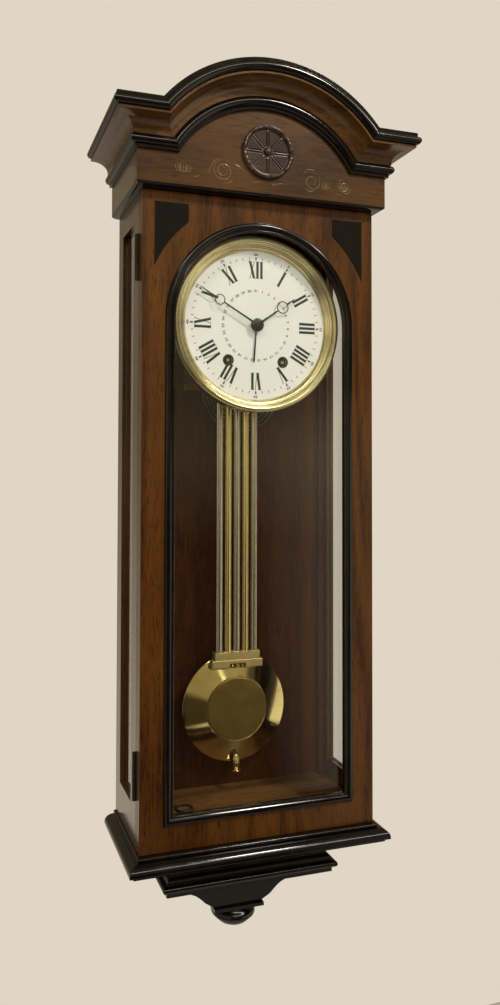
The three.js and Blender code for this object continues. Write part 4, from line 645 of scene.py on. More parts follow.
# The bead, the hollow cove and the crown, each standing on the one below it.
def makeHoodMouldings():
    start, foot, reach, rise = hood["cove"]
    turn = quarter(hood["hollowSteps"])
    hollow = np.stack([start + reach * (1 - np.cos(turn)), foot + rise * np.sin(turn)], -1)
    curves = dict(bead=beadArc(*hood["bead"]), cove=hollow, crown=beadArc(*hood["crown"]))
    for node, kind, look in (("frieze_bead", "bead", "ebonised"), ("cornice_cove", "cove", "cove"),
                             ("crown_moulding", "crown", "ebonised")):
        section = rounded([*hood[kind + "Foot"], *curves[kind], *hood[kind + "Head"]], hood["arris"])
        part = gridPart(hoodPath(section), wear=sectionWear(section))
        makePiece(pieceName(node), [part], look, "case", node)


fillet = dict(foot=1.5, back=-12.0, setBack=-30.0, arris=0.3, steps=10)


# The hollow fillet under the frieze: a quarter hollow carried round three sides.
def makeFriezeFillet():
    p, foot, top = hood["projection"], case["height"], hood["friezeFoot"]
    turn, inner, back = quarter(fillet["steps"])[1:], fillet["foot"], fillet["back"]
    hollow = np.stack([inner + (p - inner) * np.sin(turn), top - (top - foot) * np.cos(turn)], -1)
    section = rounded([[back, foot], [inner, foot], *hollow, [back, top]], fillet["arris"])
    reach, height = section.T
    front = case["hoodOut"] + np.where(reach < 0, fillet["setBack"], reach)
    grid = roundCase(case["half"] + reach, front, height)
    part = gridPart(grid, wear=sectionWear(section))
    makePiece("friezeFillet", [part], "ebonised", "case", "frieze_fillet")


pediment = dict(thickness=12.0, joint=0.3, ease=0.4, steps=97)


# The front board of the hood: a rectangle of depth and height carried across, with its top
# edge on the circle of the arch.
def makePediment():
    ease, top = pediment["ease"], hood["boardTop"]
    front = case["hoodOut"] + hood["projection"]
    back, edge = front - pediment["thickness"], case["half"] + hood["projection"]
    foot = hood["friezeFoot"] + pediment["joint"]
    radius = case["archRadius"] + top - case["friezeTop"]
    cusp = math.sqrt(radius**2 - (top - case["archCentre"]) ** 2)
    x = np.array([-edge, ease - edge, *np.linspace(-cusp, cusp, pediment["steps"]), edge - ease, edge])
    rise = np.sqrt(np.maximum(radius**2 - x**2, 0)) + case["archCentre"]
    high = np.where(np.abs(x) < cusp, rise, top)[:, None]
    low, inset = foot + 0 * high, np.zeros_like(high)
    inset[[0, -1]] = ease
    out = np.array([[front, front, front - ease, back, back, front - ease]])
    out = out - inset * np.array([[1, 1, 0, 0, 0, 0]])
    height = np.concatenate([low + ease, high - ease, high, high, low, low], 1)
    part = gridPart(atPlace(x[:, None], out, height))
    makePiece("pedimentBoard", [part], "frieze", "case", "pediment_board")


rosette = dict(
    radius=33.4, height=832.8, out=147.5, rim=27.4, boss=4.8, spokes=8, steps=512, rings=(14, 44, 28),
    centre=0.01, bossGap=0.25, rimGap=0.15, fadeIn=2.0, fadeOver=1.5, fadeOut=1.0, face=1.7, aside=1.6,
    grooveWidth=0.42, grooveDepth=0.9, ridgeWidth=0.9, ridgeRise=0.4, domeFoot=1.4, domeRise=4.2,
    rimFoot=1.6, rimRise=4.1, notchWidth=0.06, notchDepth=2.2, beads=32, beadRise=0.2, fullness=0.6,
    glintFrom=5.2, glintOver=0.6, sharp=80.0,
)


# A bell curve of one width.
def bell(values, width):
    return np.exp(-((values / width) ** 2))


# The carved rosette, as a height over the board for each radius and angle: a domed boss, a
# flat dish crossed by pairs of spoke grooves, and a round rim notched into lobes. Its highest
# relief gets the wear mark, so the carved look paints a highlight on the crests.
def makeRosette():
    r = rosette
    boss, inner, outer, centre = r["boss"], r["rim"], r["radius"], r["centre"]
    starts, ends = (centre, boss + r["bossGap"], inner + r["rimGap"]), (boss, inner, outer)
    radius = np.concatenate([np.linspace(*span) for span in zip(starts, ends, r["rings"])])[None, :]
    angle, step = circle(r["steps"])[:, None], 2 * np.pi / r["spokes"]
    nearest = (angle + step / 2) % step - step / 2
    aside = np.abs(radius * np.sin(nearest))
    fade = held((radius - boss - r["fadeIn"]) / r["fadeOver"]) * held(inner - r["fadeOut"] - radius)
    groove = r["grooveDepth"] * bell(aside - r["aside"], r["grooveWidth"])
    dish = r["face"] + (r["ridgeRise"] * bell(aside, r["ridgeWidth"]) - groove) * fade
    dome = r["domeFoot"] + r["domeRise"] * np.sqrt(held(1 - (radius / boss) ** 2))
    crest = np.sin(np.pi * held((radius - inner) / (outer - inner))) ** r["fullness"]
    lobes = r["rimRise"] - r["notchDepth"] * bell(nearest, r["notchWidth"])
    rim = r["rimFoot"] + (lobes + r["beadRise"] * np.cos(angle * r["beads"])) * crest
    relief = np.where(radius <= boss, dome, np.where(radius <= inner, dish, rim))
    flat = np.zeros((len(angle), 1))
    reach = np.concatenate([radius + 0 * angle, flat + outer, flat + centre], 1)
    out = r["out"] + np.concatenate([relief, flat, flat], 1)
    grid = atPlace(np.cos(angle) * reach, out, r["height"] + np.sin(angle) * reach)
    grid[:, 0], grid[:, -1] = grid[:, 0].mean(0), grid[:, -1].mean(0)
    # painted highlight: the highest crests get the wear mark, which lightens them in the carved look
    wear = np.concatenate([held((relief - r["glintFrom"]) / r["glintOver"]), flat, flat], 1)
    part = gridPart(grid, closeRows=True, closeColumns=False, wear=wear)
    makePiece("rosetteCarving", [part], "carved", "case", "rosette", r["sharp"], flatten=False)


# A smooth line through chosen points: between two of them a cubic, whose slope at each point
# is half the step between its two neighbours.
def smoothLine(points, steps=14):
    points = np.asarray(points, float)
    padded = np.concatenate([2 * points[:1] - points[1:2], points, 2 * points[-1:] - points[-2:-1]])
    a, b, c, d = padded[:-3, None], padded[1:-2, None], padded[2:-1, None], padded[3:, None]
    t = np.linspace(0, 1, steps, endpoint=False)[None, :, None]
    square, cube = 2 * a - 5 * b + 4 * c - d, 3 * b - a - 3 * c + d
    curve = 0.5 * (2 * b + (c - a) * t + square * t**2 + cube * t**3)
    return np.concatenate([curve.reshape(-1, points.shape[1]), points[-1:]])


# The scrolls, in x and height: a spiral has its centre, outer and inner radius, first angle and
# sweep; a leaf has its foot, angle, length and bulge.
scrolls = dict(
    out=147.55, width=0.42, relief=0.26, sides=8, spiralSteps=110, closing=0.8, leafSteps=24,
    leafFullness=0.8, vein=0.75, thin=0.35, ends=(0.02, 0.98),
    spirals=[(-56.5, 804.2, 14.6, 3.6, 40, 790), (60.0, 803.6, 14.2, 3.6, 150, -600)],
    lines=[
        [(-46.0, 813.6), (-40.0, 812.6), (-33.0, 808.6), (-25.8, 804.1)],
        [(-75.5, 800.0), (-72.0, 808.0), (-67.0, 815.5), (-60.0, 818.6)],
        [(-55.0, 789.6), (-49.0, 790.6), (-44.0, 794.6)],
        [(-24.5, 795.2), (-18.0, 793.6), (-11.0, 795.8), (-5.0, 795.6)],
        [(4.0, 795.6), (10.0, 793.8), (17.0, 796.6), (25.3, 796.2)],
        [(47.0, 812.0), (53.0, 817.6), (60.0, 818.4), (66.0, 816.4)],
        [(50.0, 795.0), (56.0, 791.2), (63.0, 792.2)],
        [(-94.0, 793.2), (-90.0, 793.6), (-86.5, 796.2)],
        [(91.5, 793.8), (95.5, 791.6), (100.0, 792.8)],
    ],
    leaves=[(-106.5, 796.6, 90, 13.0, 4.4), (-103.6, 797.2, 55, 11.0, 3.2), (-109.6, 797.2, 125, 11.0, 3.2),
            (98.0, 796.4, 40, 15.0, 4.4), (101.0, 795.0, 18, 13.0, 3.4), (96.6, 799.0, 66, 12.0, 3.2),
            (74.5, 796.0, 62, 10.5, 3.2), (79.5, 795.6, 74, 9.5, 2.8)],
)


# The outline of a leaf: two arcs that meet at its ends, and its middle vein.
def leafLines(x, height, angle, length, bulge):
    share = np.linspace(0, 1, scrolls["leafSteps"])
    turn = math.radians(angle)
    lines = []
    for side, reach in ((1.0, 1.0), (-1.0, 1.0), (0.0, scrolls["vein"])):
        aside = side * bulge * np.sin(np.pi * share) ** scrolls["leafFullness"]
        along = share * length * reach
        lines.append(np.stack([x + along * math.cos(turn) - aside * math.sin(turn),
                               height + along * math.sin(turn) + aside * math.cos(turn)], -1))
    return lines


# A spiral whose radius closes in a little faster at first.
def spiralLine(x, height, outer, inner, start, sweep):
    share = np.linspace(0, 1, scrolls["spiralSteps"])
    turn = np.radians(start + sweep * share)
    radius = outer + (inner - outer) * share ** scrolls["closing"]
    return np.stack([x + np.cos(turn) * radius, height + np.sin(turn) * radius], -1)


# The scrolls beside the rosette: fine raised lines that taper to both ends, in a wood lighter
# than the frieze, a painted highlight that stands for light caught in cut grooves.
def makeScrolls():
    paths = [smoothLine(line) for line in scrolls["lines"]]
    paths += [spiralLine(*spiral) for spiral in scrolls["spirals"]]
    paths += [line for leaf in scrolls["leaves"] for line in leafLines(*leaf)]
    parts = []
    for path in paths:
        swell = np.sin(np.pi * np.linspace(*scrolls["ends"], len(path)))
        line = np.insert(path, 1, scrolls["out"], axis=1)
        taper = scrolls["thin"] + (1 - scrolls["thin"]) * swell
        parts.append(tube(line, scrolls["width"], scrolls["relief"], scrolls["sides"], taper))
    makePiece("friezeScrolls", parts, "scrollHighlight", flatten=False)


makeHoodMouldings()
makeFriezeFillet()
makePediment()
makeRosette()
makeScrolls()
for node in ("hood_side_left", "hood_side_right"):
    softened(node, "side")
softened("hood_roof", "top")
print("hood made")

# The beading's face as shares of its width and of its height.
beading = dict(
    width=12.4, height=4.0, tongue=3.0, tongueWidth=1.8, arris=0.3, archSteps=96,
    profile=[(0, 0.3), (0.02, 0.62), (0.08, 0.82), (0.15, 0.84), (0.21, 0.72), (0.24, 0.5),
             (0.28, 0.66), (0.36, 0.86), (0.47, 0.97), (0.6, 1), (0.72, 0.95), (0.83, 0.82),
             (0.91, 0.6), (0.96, 0.34), (1, 0)],
)


# The moulded beading: a section of distance from the sight line and height above the door,
# carried up the sides and round the arch.
def makeBeading():
    face = [(a * beading["width"], up * beading["height"]) for a, up in reversed(beading["profile"])]
    depth, width = beading["tongue"], beading["tongueWidth"]
    section = rounded([(0, -depth), (width, -depth), (width, 0), *face], beading["arris"])
    aside, up = section.T
    reach, out, foot = case["sight"] + aside, case["front"] + up, case["sightFoot"] - aside
    angle = np.linspace(0, np.pi, beading["archSteps"])[:, None]
    arch = atPlace(np.cos(angle) * reach, out, dialHeight + np.sin(angle) * reach)
    grid = np.stack([atPlace(-reach, out, foot), atPlace(reach, out, foot), *arch])
    part = gridPart(grid, closeRows=True, wear=sectionWear(section))
    makePiece("doorBeading", [part], "ebonised", "door", "door_beading")


makeBeading()
softened("door_frame", "case", "door", 0.7)
for side in ("left", "right"):
    softened("spandrel_" + side, "ebonised", "door", 0.5)
for side in ("left", "right"):
    softened("side_panel_" + side, "side")
for hinge in ("upper", "lower"):
    for body in ("door", "case"):
        softened(hinge + "_hinge_" + body + "_leaf", "hand", body, 0.25)
print("door and carcass made")

# The base moulding and the stepped block under it, in projection and height from the door's
# foot. A bead has its projection, foot, radius and steps, and a quarter its start, top, reach
# and drop.
base = dict(
    half=152.0, out=137.0, arris=0.45, corner=0.7, cornerSteps=5, into=-50.0, quarterSteps=14,
    bead=(1.2, -3.6, 1.8, 12), ovolo=(4.2, -4.4, 10.6, 9.0),
    under=[(14.8, -15.8), (9.5, -15.8), (9.5, -19.9)],
)
tier = dict(half=104.4, out=96.4, top=[(0, -20.5), (0, -49.0)], hollow=(0, -49.0, 5.0, 7.0),
            torus=(7.3, -64.0, 4.0, 16), foot=[(5.6, -64.0), (5.6, -70.2)])


# A block whose rectangle steps out by a projection at each height, with its two front
# corners rounded a little.
def tieredPart(levels, half, out):
    levels = rounded(levels, base["arris"], closed=False)
    reach, height = levels[:, :1], levels[:, 1:]
    turn, corner = np.linspace(np.pi, np.pi / 2, base["cornerSteps"])[None, :], base["corner"]
    left = np.cos(turn) * corner - (half + reach - corner)
    front = out + reach - corner + np.sin(turn) * corner
    x = np.concatenate([-(half + reach), left, -left[:, ::-1], half + reach], 1)
    y = np.concatenate([0 * reach, front, front[:, ::-1], 0 * reach], 1)
    behind = [[base["into"], height[-1, 0]], [base["into"], height[0, 0]]]
    wear = sectionWear(np.concatenate([levels, behind]))[: len(levels), None]
    return gridPart(atPlace(x, y, height), wear=wear)


# A quarter of an oval that runs outwards and then down.
def quarterArc(start, top, reach, drop):
    turn = quarter(base["quarterSteps"])
    return np.stack([start + reach * np.sin(turn), top - drop * (1 - np.cos(turn))], -1)


# The base: a bead over an ovolo, and a block with a hollow, a torus and a plain foot.
def makeBase():
    levels = [*beadArc(*base["bead"])[::-1], *quarterArc(*base["ovolo"]), *base["under"]]
    part = tieredPart(levels, base["half"], base["out"])
    makePiece("baseMoulding", [part], "ebonised", "case", "base_moulding")
    torus = beadArc(*tier["torus"])[::-1]
    levels = [*tier["top"], *quarterArc(*tier["hollow"]), *torus, *tier["foot"]]
    part = tieredPart(levels, tier["half"], tier["out"])
    makePiece("steppedMoulding", [part], "ebonised", "case", "stepped_moulding")


# The boss's profile as shares of its radius and of its height from the top, and its tip.
boss = dict(
    radius=29.4, top=-124.8, height=28.0, out=31.0, arris=1.6, into=-20.0, wear=0.5, cornerSteps=5,
    steps=80, tip=[(6.0, -152.8), (6.0, -154.8), (3.0, -156.8), (0.0, -156.8)],
    profile=[(0, 0), (0.8, 0), (0.86, 0.12), (0.97, 0.26), (1, 0.4), (0.97, 0.5), (0.88, 0.54), (0.86, 0.6),
             (0.7, 0.78), (0.46, 0.92)],
)


# The turned boss, from its shares and its small tip.
def makeBoss():
    top, into, end = boss["top"], boss["into"], boss["tip"][-1][1]
    profile = [(boss["radius"] * wide, top - boss["height"] * down) for wide, down in boss["profile"]]
    profile = rounded([*profile, *boss["tip"]], boss["arris"], boss["cornerSteps"], closed=False)
    wear = sectionWear(np.concatenate([profile, [[into, end], [into, top]]]))[: len(profile)] * boss["wear"]
    part = turned(profile, 0, boss["out"], boss["steps"], wear, standing=True)
    makePiece("turnedBoss", [part], "ebonised", "case", "turned_boss")


makeBase()
makeBoss()
softened("wall_bracket", "ebonised", bevel=0.8, steps=3)
print("base made")

# The bezel's profile in radius and distance out; a curve has its start and its two spans.
bezel = dict(
    back=[(87.4, 105.3), (107.0, 104.0), (110.0, 107.0)], rim=(106.1, 117.5), rimRadius=3.9,
    rimTurn=(-0.2, 0.66 * np.pi, 16), groove=[(103.9, 120.2), (103.4, 119.4)], hollow=(102.6, 119.6),
    hollowSpan=(3.4, 3.6), step=[(98.8, 115.9), (98.2, 115.2)], drop=(97.9, 115.0), dropSpan=(3.9, 3.8),
    dropPower=1.6, sight=[(93.4, 110.8), (93.4, 109.9), (95.7, 109.9), (95.7, 107.3), (87.4, 107.3)],
    arris=0.25, fallSteps=10, steps=192, wear=0.4, sharp=50.0,
)


# The cast bezel turned from its profile: a round outer rim, a fine groove, a hollow and two
# falling steps.
def makeBezel():
    turn = np.linspace(*bezel["rimTurn"])
    rim = bezel["rim"] + bezel["rimRadius"] * np.stack([np.cos(turn), np.sin(turn)], -1)
    fall = np.linspace(0, 1, bezel["fallSteps"])
    hollow = bezel["hollow"] - np.stack([fall, np.sin(fall * np.pi / 2)], -1) * bezel["hollowSpan"]
    drop = bezel["drop"] - np.stack([fall, fall ** bezel["dropPower"]], -1) * bezel["dropSpan"]
    profile = [*bezel["back"], *rim, *bezel["groove"], *hollow, *bezel["step"], *drop, *bezel["sight"]]
    profile = rounded(profile, bezel["arris"], fewSteps)
    part = turned(profile, 0, dialHeight, bezel["steps"], sectionWear(profile) * bezel["wear"])
    makePiece("castBezel", [part], "bezel", "case", "bezel", bezel["sharp"])


# The x and the height of a point at some length and offset along a clockwise angle from the
# dial's top.
def onDial(turn, aside, along):
    x = along * np.sin(turn) + aside * np.cos(turn)
    return x, dialHeight + along * np.cos(turn) - aside * np.sin(turn)


plateLift = 0.12
plateFaces = np.array([[0, 1, 2, 3], [7, 6, 5, 4], [0, 4, 5, 1], [1, 5, 6, 2], [2, 6, 7, 3], [3, 7, 4, 0]])


# Quadrilaterals in the dial's plane, given as clockwise angle and corners of offset and
# radius, each made a thin closed plate on the dial.
def platesOnDial(angles, corners):
    corners = np.broadcast_to(corners, (len(angles), 4, 2))
    x, height = onDial(np.radians(angles)[:, None], corners[..., 0], corners[..., 1])
    sides = [atPlace(x, case["dialOut"] + lift, height) for lift in (plateLift, 0.0)]
    points = np.concatenate(sides, 1).reshape(-1, 3)
    start = np.arange(len(angles))[:, None, None] * 8
    return points, (start + plateFaces[None]).reshape(-1, 4).tolist(), np.zeros(len(points))


# Each letter's width and its strokes: the offset of their foot and their head, and their kind.
numerals = dict(
    inner=59.5, outer=81.0, bar=3.3, hair=0.75, serif=0.5, serifReach=0.7, step=30.0,
    hours=["XII", "I", "II", "III", "IIII", "V", "VI", "VII", "VIII", "IX", "X", "XI"],
    letters=dict(
        I=(5.3, [(0.0, 0.0, "bar")]),
        V=(9.0, [(0.3, -2.7, "bar"), (0.9, 3.3, "hair")]),
        X=(9.4, [(2.7, -2.7, "bar"), (-3.0, 3.0, "hair")]),
    ),
)


# The strokes of an hour numeral as bottom middle, top middle and width, from left to right.
def numeralStrokes(text):
    strokes = []
    left = -sum(numerals["letters"][letter][0] for letter in text) / 2
    for letter in text:
        wide, lines = numerals["letters"][letter]
        middle = left + wide / 2
        strokes += [(middle + foot, middle + head, numerals[kind]) for foot, head, kind in lines]
        left += wide
    return strokes


# The corners of a stroke between two levels, from the middle and half width at each.
def strokeCorners(foot, footHalf, head, headHalf, low, high):
    return [(foot - footHalf, low), (foot + footHalf, low), (head + headHalf, high), (head - headHalf, high)]


# The hour numerals: each stroke with a serif at its foot and at its head.
def makeNumerals():
    angles, corners = [], []
    low, high, serif = numerals["inner"], numerals["outer"], numerals["serif"]
    for hour, text in enumerate(numerals["hours"]):
        for foot, head, width in numeralStrokes(text):
            reach = width / 2 + numerals["serifReach"]
            corners.append(strokeCorners(foot, width / 2, head, width / 2, low, high))
            corners.append(strokeCorners(foot, reach, foot, reach, low, low + serif))
            corners.append(strokeCorners(head, reach, head, reach, high - serif, high))
            angles += [hour * numerals["step"]] * 3
    makePiece("hourNumerals", [platesOnDial(angles, corners)], "ink", flatten=False)


# A mark of the minute track: half its width at its foot and at its head, and their radii.
track = dict(fine=(0.42, 0.42, 82.6, 85.8), bold=(0.5, 1.25, 82.2, 86.2), step=6.0)


# The minute track: sixty hairlines and twelve bold marks.
def makeTrack():
    minutes = np.arange(60) * track["step"]
    for name, kind, look, angles in (("minuteTrack", "fine", "fineInk", minutes),
                                     ("fiveMinuteMarks", "bold", "ink", minutes[::5])):
        footHalf, headHalf, low, high = track[kind]
        corners = strokeCorners(0, footHalf, 0, headHalf, low, high)
        makePiece(name, [platesOnDial(angles, corners)], look, flatten=False)


digits = dict(
    extrude=0.05, offset=0.1, resolution=3, lift=0.06, widen=1.25,
    minuteRadius=89.6, minuteSize=4.6, dateRadius=43.6, dateSize=4.3, days=31,
)


# A small printed number: its outline as a thin closed plate, its foot towards the centre.
def numberPart(number, angle, radius, size):
    curve = bpy.data.curves.new("number", "FONT")
    curve.body = str(number)
    curve.size = size
    curve.align_x = "CENTER"
    curve.align_y = "CENTER"
    curve.extrude = digits["extrude"]
    curve.offset = digits["offset"]
    curve.resolution_u = digits["resolution"]
    holder = bpy.data.objects.new("number", curve)
    mesh = bpy.data.meshes.new_from_object(holder)
    flat = np.zeros(len(mesh.vertices) * 3)
    mesh.vertices.foreach_get("co", flat)
    aside, along, out = flat.reshape(-1, 3).T
    faces = [list(face.vertices) for face in mesh.polygons]
    x, height = onDial(math.radians(angle), aside * digits["widen"], radius + along)
    bpy.data.objects.remove(holder)
    bpy.data.curves.remove(curve)
    bpy.data.meshes.remove(mesh)
    return atPlace(x, case["dialOut"] + digits["lift"] + out, height), faces, np.zeros(len(x))


# The numbers of the minutes outside the track, and of the days inside the numerals.
def makeNumbers():
    radius, size, days = digits["minuteRadius"], digits["minuteSize"], digits["days"]
    minutes = [numberPart(5 * (i or 12), numerals["step"] * i, radius, size) for i in range(12)]
    makePiece("minuteNumbers", minutes, "ink", flatten=False)
    radius, size = digits["dateRadius"], digits["dateSize"]
    dates = [numberPart(day, 360.0 * day / days, radius, size) for day in range(1, days + 1)]
    makePiece("dateNumbers", dates, "fineInk", flatten=False)


grommet = dict(
    x=36.6, drop=44.8, arris=0.2, steps=48,
    profile=[(5.1, 109.7), (7.1, 109.7), (7.1, 110.3), (6.4, 110.9), (5.4, 110.7), (5.1, 110.2)],
)


# The two rings round the winding holes.
def makeGrommets():
    profile, level = rounded(grommet["profile"], grommet["arris"], fewSteps), dialHeight - grommet["drop"]
    parts = [turned(profile, side * grommet["x"], level, grommet["steps"]) for side in (-1, 1)]
    makePiece("windingGrommets", parts, "hand")


# The hands: a hub has its radius, back, front, dome and bore, and a pipe has its profile.
hands = dict(
    minute=dict(angle=300.0, out=116.35, length=87.0, ring=57.5, ringRadius=6.8, root=2.7,
                hub=(8.2, 115.9, 116.8, 2.8), sides=24,
                pipe=[(0, 97.5), (2.4, 97.5), (2.4, 116.0), (0, 116.0)]),
    hour=dict(angle=55.0, out=113.95, length=62.5, ring=42.5, ringRadius=7.9, root=2.9,
              hub=(8.0, 113.5, 114.4, 0.0, 2.8), sides=32,
              pipe=[(2.8, 99.2), (15, 99.2), (15, 100.8), (3.6, 100.8), (3.6, 113.5), (2.8, 113.5)]),
    date=dict(angle=184.0, out=111.75, length=47.0, start=5.0, point=4.2, root=1.5, wide=2.3,
              hub=(6.1, 111.3, 112.2, 0.0, 4.0), sides=32,
              pipe=[(4.0, 103.6), (18, 103.6), (18, 105.2), (4.9, 105.2), (4.9, 111.3), (4.0, 111.3)]),
    band=0.62, tip=0.9, thick=0.42, fullness=0.5, bite=0.4, tipBite=0.5, overlap=0.2,
    rootFall=0.62, tipRoot=0.8, crown=((0.62, 0.55), (0.34, 1.0)), arris=0.35,
    barSteps=12, barSides=16, ringSides=12, steps=64,
)


# Points in a hand's own plane, offset and length, turned to the hand's angle.
def inHandPlane(hand, aside, along, out):
    x, height = onDial(math.radians(hand["angle"]), aside, along)
    return atPlace(x, out, height)


# A rounded square wave: the sign of a value times a power of its size.
def squared(values):
    return np.sign(values) * np.abs(values) ** hands["fullness"]


# A flat bar with a rounded section whose width runs from one value to another.
def barPart(hand, start, end, widthStart, widthEnd):
    share, turn = np.linspace(0, 1, hands["barSteps"])[:, None], circle(hands["barSides"])[None, :]
    width = (widthStart + (widthEnd - widthStart) * share) / 2
    out = hand["out"] + squared(np.sin(turn)) * hands["thick"] + 0 * share
    along = start + (end - start) * share + 0 * turn
    return gridPart(inHandPlane(hand, squared(np.cos(turn)) * width, along, out))


# A hand's ring: a flattened round band.
def ringPart(hand):
    around, turn = circle(hands["steps"])[:, None], circle(hands["ringSides"])[None, :]
    radius = hand["ringRadius"] - hands["band"] + np.cos(turn) * hands["band"]
    out = hand["out"] + np.sin(turn) * hands["thick"] + 0 * around
    grid = inHandPlane(hand, radius * np.sin(around), hand["ring"] + radius * np.cos(around), out)
    return gridPart(grid, closeRows=True)


# A hand's hub, with a dome over it or a bore through it.
def hubPart(radius, low, high, dome, bore=0.0):
    crown = [(radius * wide, high + dome * share) for wide, share in hands["crown"]]
    profile = [(bore, low), (radius, low), (radius, high), *crown, (bore, high + dome)]
    return turned(rounded(profile, hands["arris"], closed=bore > 0), 0, dialHeight, hands["steps"])


# The minute and hour hands: a bar, a ring and a tip; the date hand: a bar and a point.
def makeHands():
    for kind in ("minute", "hour", "date"):
        hand = hands[kind]
        length, root = hand["length"], hand["root"]
        if "ring" in hand:
            inner, outer = hand["ring"] - hand["ringRadius"], hand["ring"] + hand["ringRadius"]
            parts = [
                barPart(hand, 0.0, inner + hands["bite"], root, root * hands["rootFall"]),
                ringPart(hand),
                barPart(hand, outer - hands["tipBite"], length, root * hands["tipRoot"], hands["tip"]),
            ]
        else:
            neck, wide = length - hand["point"], hand["wide"]
            parts = [barPart(hand, hand["start"], neck + hands["overlap"], root, wide),
                     barPart(hand, neck, length, wide, hands["tip"])]
        parts += [hubPart(*hand["hub"]), turned(hand["pipe"], 0, dialHeight, hand["sides"])]
        makePiece(kind + "Hand", parts, "hand", kind, kind + "_hand")


makeBezel()
makeNumerals()
makeTrack()
makeNumbers()
makeGrommets()
makeHands()
print("dial made")

gridiron = dict(
    rod=4.9, pitch=12.1, foot=201.0, head=606.0, arris=0.3, sides=48,
    rods=["steel_rod_left", "brass_rod_left", "steel_rod_centre", "brass_rod_right", "steel_rod_right"],
)


# A rod that stands upright: its radius, foot, head, place in x and out, and sides.
def rodPart(radius, foot, head, x, out, sides, arris=0.0):
    profile = [(0, foot), (radius, foot), (radius, head), (0, head)]
    if arris:
        profile = rounded(profile, arris, fewSteps, closed=False)
    return turned(profile, x, out, sides, standing=True)


# The five rods of the gridiron, steel and brass in turn.
def makeRods():
    for i, node in enumerate(gridiron["rods"]):
        part = rodPart(gridiron["rod"], gridiron["foot"], gridiron["head"], (i - 2) * gridiron["pitch"],
                       case["pendulumOut"], gridiron["sides"], gridiron["arris"])
        makePiece(pieceName(node), [part], "brassRod" if i % 2 else "steel", "pendulum", node)


block = dict(corner=0.8, ease=0.45, share=0.3, wear=(0, 0.4, 0.5, 1.0, 0.5))


# A block with its edges rounded: the outline rounded in the plane of the front, and the
# front and back eased by a small step.
def easedBlock(low, high, ease=block["ease"]):
    small = ease * block["share"]
    corners = [(low[0], low[2]), (high[0], low[2]), (high[0], high[2]), (low[0], high[2])]
    outline = rounded(corners, block["corner"])
    middle = np.array([low[0] + high[0], low[2] + high[2]]) / 2
    half = np.array([high[0] - low[0], high[2] - low[2]]) / 2
    rows = []
    for out, inset in ((low[1], ease), (low[1] + ease, 0.0), (high[1] - ease, 0.0), (high[1] - small, small),
                       (high[1], ease)):
        x, height = (middle + (outline - middle) * (1 - inset / half)).T
        rows.append(atPlace(x, out, height))
    # the front arris gets the most wear, which metal looks paint as a bright edge highlight
    return gridPart(np.stack(rows), wear=np.array(block["wear"])[:, None])


# The closed part of a plain box.
def boxPart(low, high):
    corners = np.stack(np.meshgrid(*zip(low, high), indexing="ij"), -1).reshape(-1, 3)
    faces = [[0, 1, 3, 2], [4, 6, 7, 5], [0, 4, 5, 1], [2, 3, 7, 6], [0, 2, 6, 4], [1, 5, 7, 3]]
    return atPlace(*corners.T), faces, np.zeros(8)


# A piece with closed parts cut out of it, one after another.
def cutParts(piece, parts):
    for part in parts:
        mesh = partsMesh("cutter", [part])
        cutter = newObject("cutter", mesh)
        cut = piece.modifiers.new("cut", "BOOLEAN")
        cut.operation = "DIFFERENCE"
        cut.solver = "EXACT"
        cut.object = cutter
        bpy.context.view_layer.update()
        evaluated = piece.evaluated_get(bpy.context.evaluated_depsgraph_get())
        result = bpy.data.meshes.new_from_object(evaluated)
        piece.modifiers.clear()
        piece.data = result
        bpy.data.objects.remove(cutter)
        bpy.data.meshes.remove(mesh)


# The bob in radius and distance out: its back, its cone in equal steps and its top under the
# disc. The window and the seat are cut out of it.
bob = dict(
    back=[(0, 28.5), (48.0, 28.5), (71.5, 30.8)], cone=((71.5, 33.0), (42.2, 44.0), 12),
    top=[(41.0, 43.4), (0, 43.4)], arris=0.5, steps=160, sharp=6.0, windowLow=(-37.0, 33.9, 183.1),
    windowHigh=(37.0, 60.0, 260.0), seat=(5.8, 50.0, 71.0), seatSides=40, discArris=0.3, discSteps=128,
    disc=[(0, 43.0), (40.6, 43.0), (40.6, 45.1), (40.1, 45.5), (0, 45.5)],
)


# The bob: a polished cone from its thin rim to the edge of a flat disc, with a dished back.
def makeBob():
    profile = [*bob["back"], *np.linspace(*bob["cone"]), *bob["top"]]
    part = turned(rounded(profile, bob["arris"], closed=False), 0, bobHeight, bob["steps"])
    piece = makePiece("bobCone", [part], "bob", "bob", "bob", flatten=False)
    seat = rodPart(*bob["seat"], 0, case["pendulumOut"], bob["seatSides"])
    cutParts(piece, [boxPart(bob["windowLow"], bob["windowHigh"]), seat])
    shadeSmooth(piece.data, bob["sharp"])
    disc = rounded(bob["disc"], bob["discArris"], fewSteps, closed=False)
    makePiece("bobDisc", [turned(disc, 0, bobHeight, bob["discSteps"])], "bobDisc", "bob")


# The crossbar's blocks by their low and high corners, some with their ease; the outline of its
# slotted plate, with back, front and chamfer; the dark plate that paints the shade at the foot of
# the slot and the hook, by their corners and ease; and the profile of its pins.
crossbar = dict(
    blocks=[((-31.2, 34.5, 195.4), (31.2, 46.9, 205.5)), ((-34.8, 34.5, 185.1), (34.8, 42.5, 194.7)),
            ((-30.2, 35.5, 194.2), (30.2, 45.5, 196.2))],
    outline=[(-35.0, 184.9), (-11.0, 184.9), (-11.0, 190.2), (11.0, 190.2), (11.0, 184.9),
             (35.0, 184.9), (35.0, 194.9), (-35.0, 194.9)],
    plate=(42.3, 47.5, 0.6), ground=((-11.3, 42.2, 185.2), (11.3, 43.0, 190.5), 0.1),
    hook=((-2.6, 42.5, 185.4), (2.6, 46.7, 189.2), 0.4), pins=(-7.0, 7.0), pinHeight=187.4,
    pinEnd=[(0, 42.5), (1.5, 42.5), (1.5, 46.9), (0, 47.5)], pinArris=0.3, pinSides=24,
)


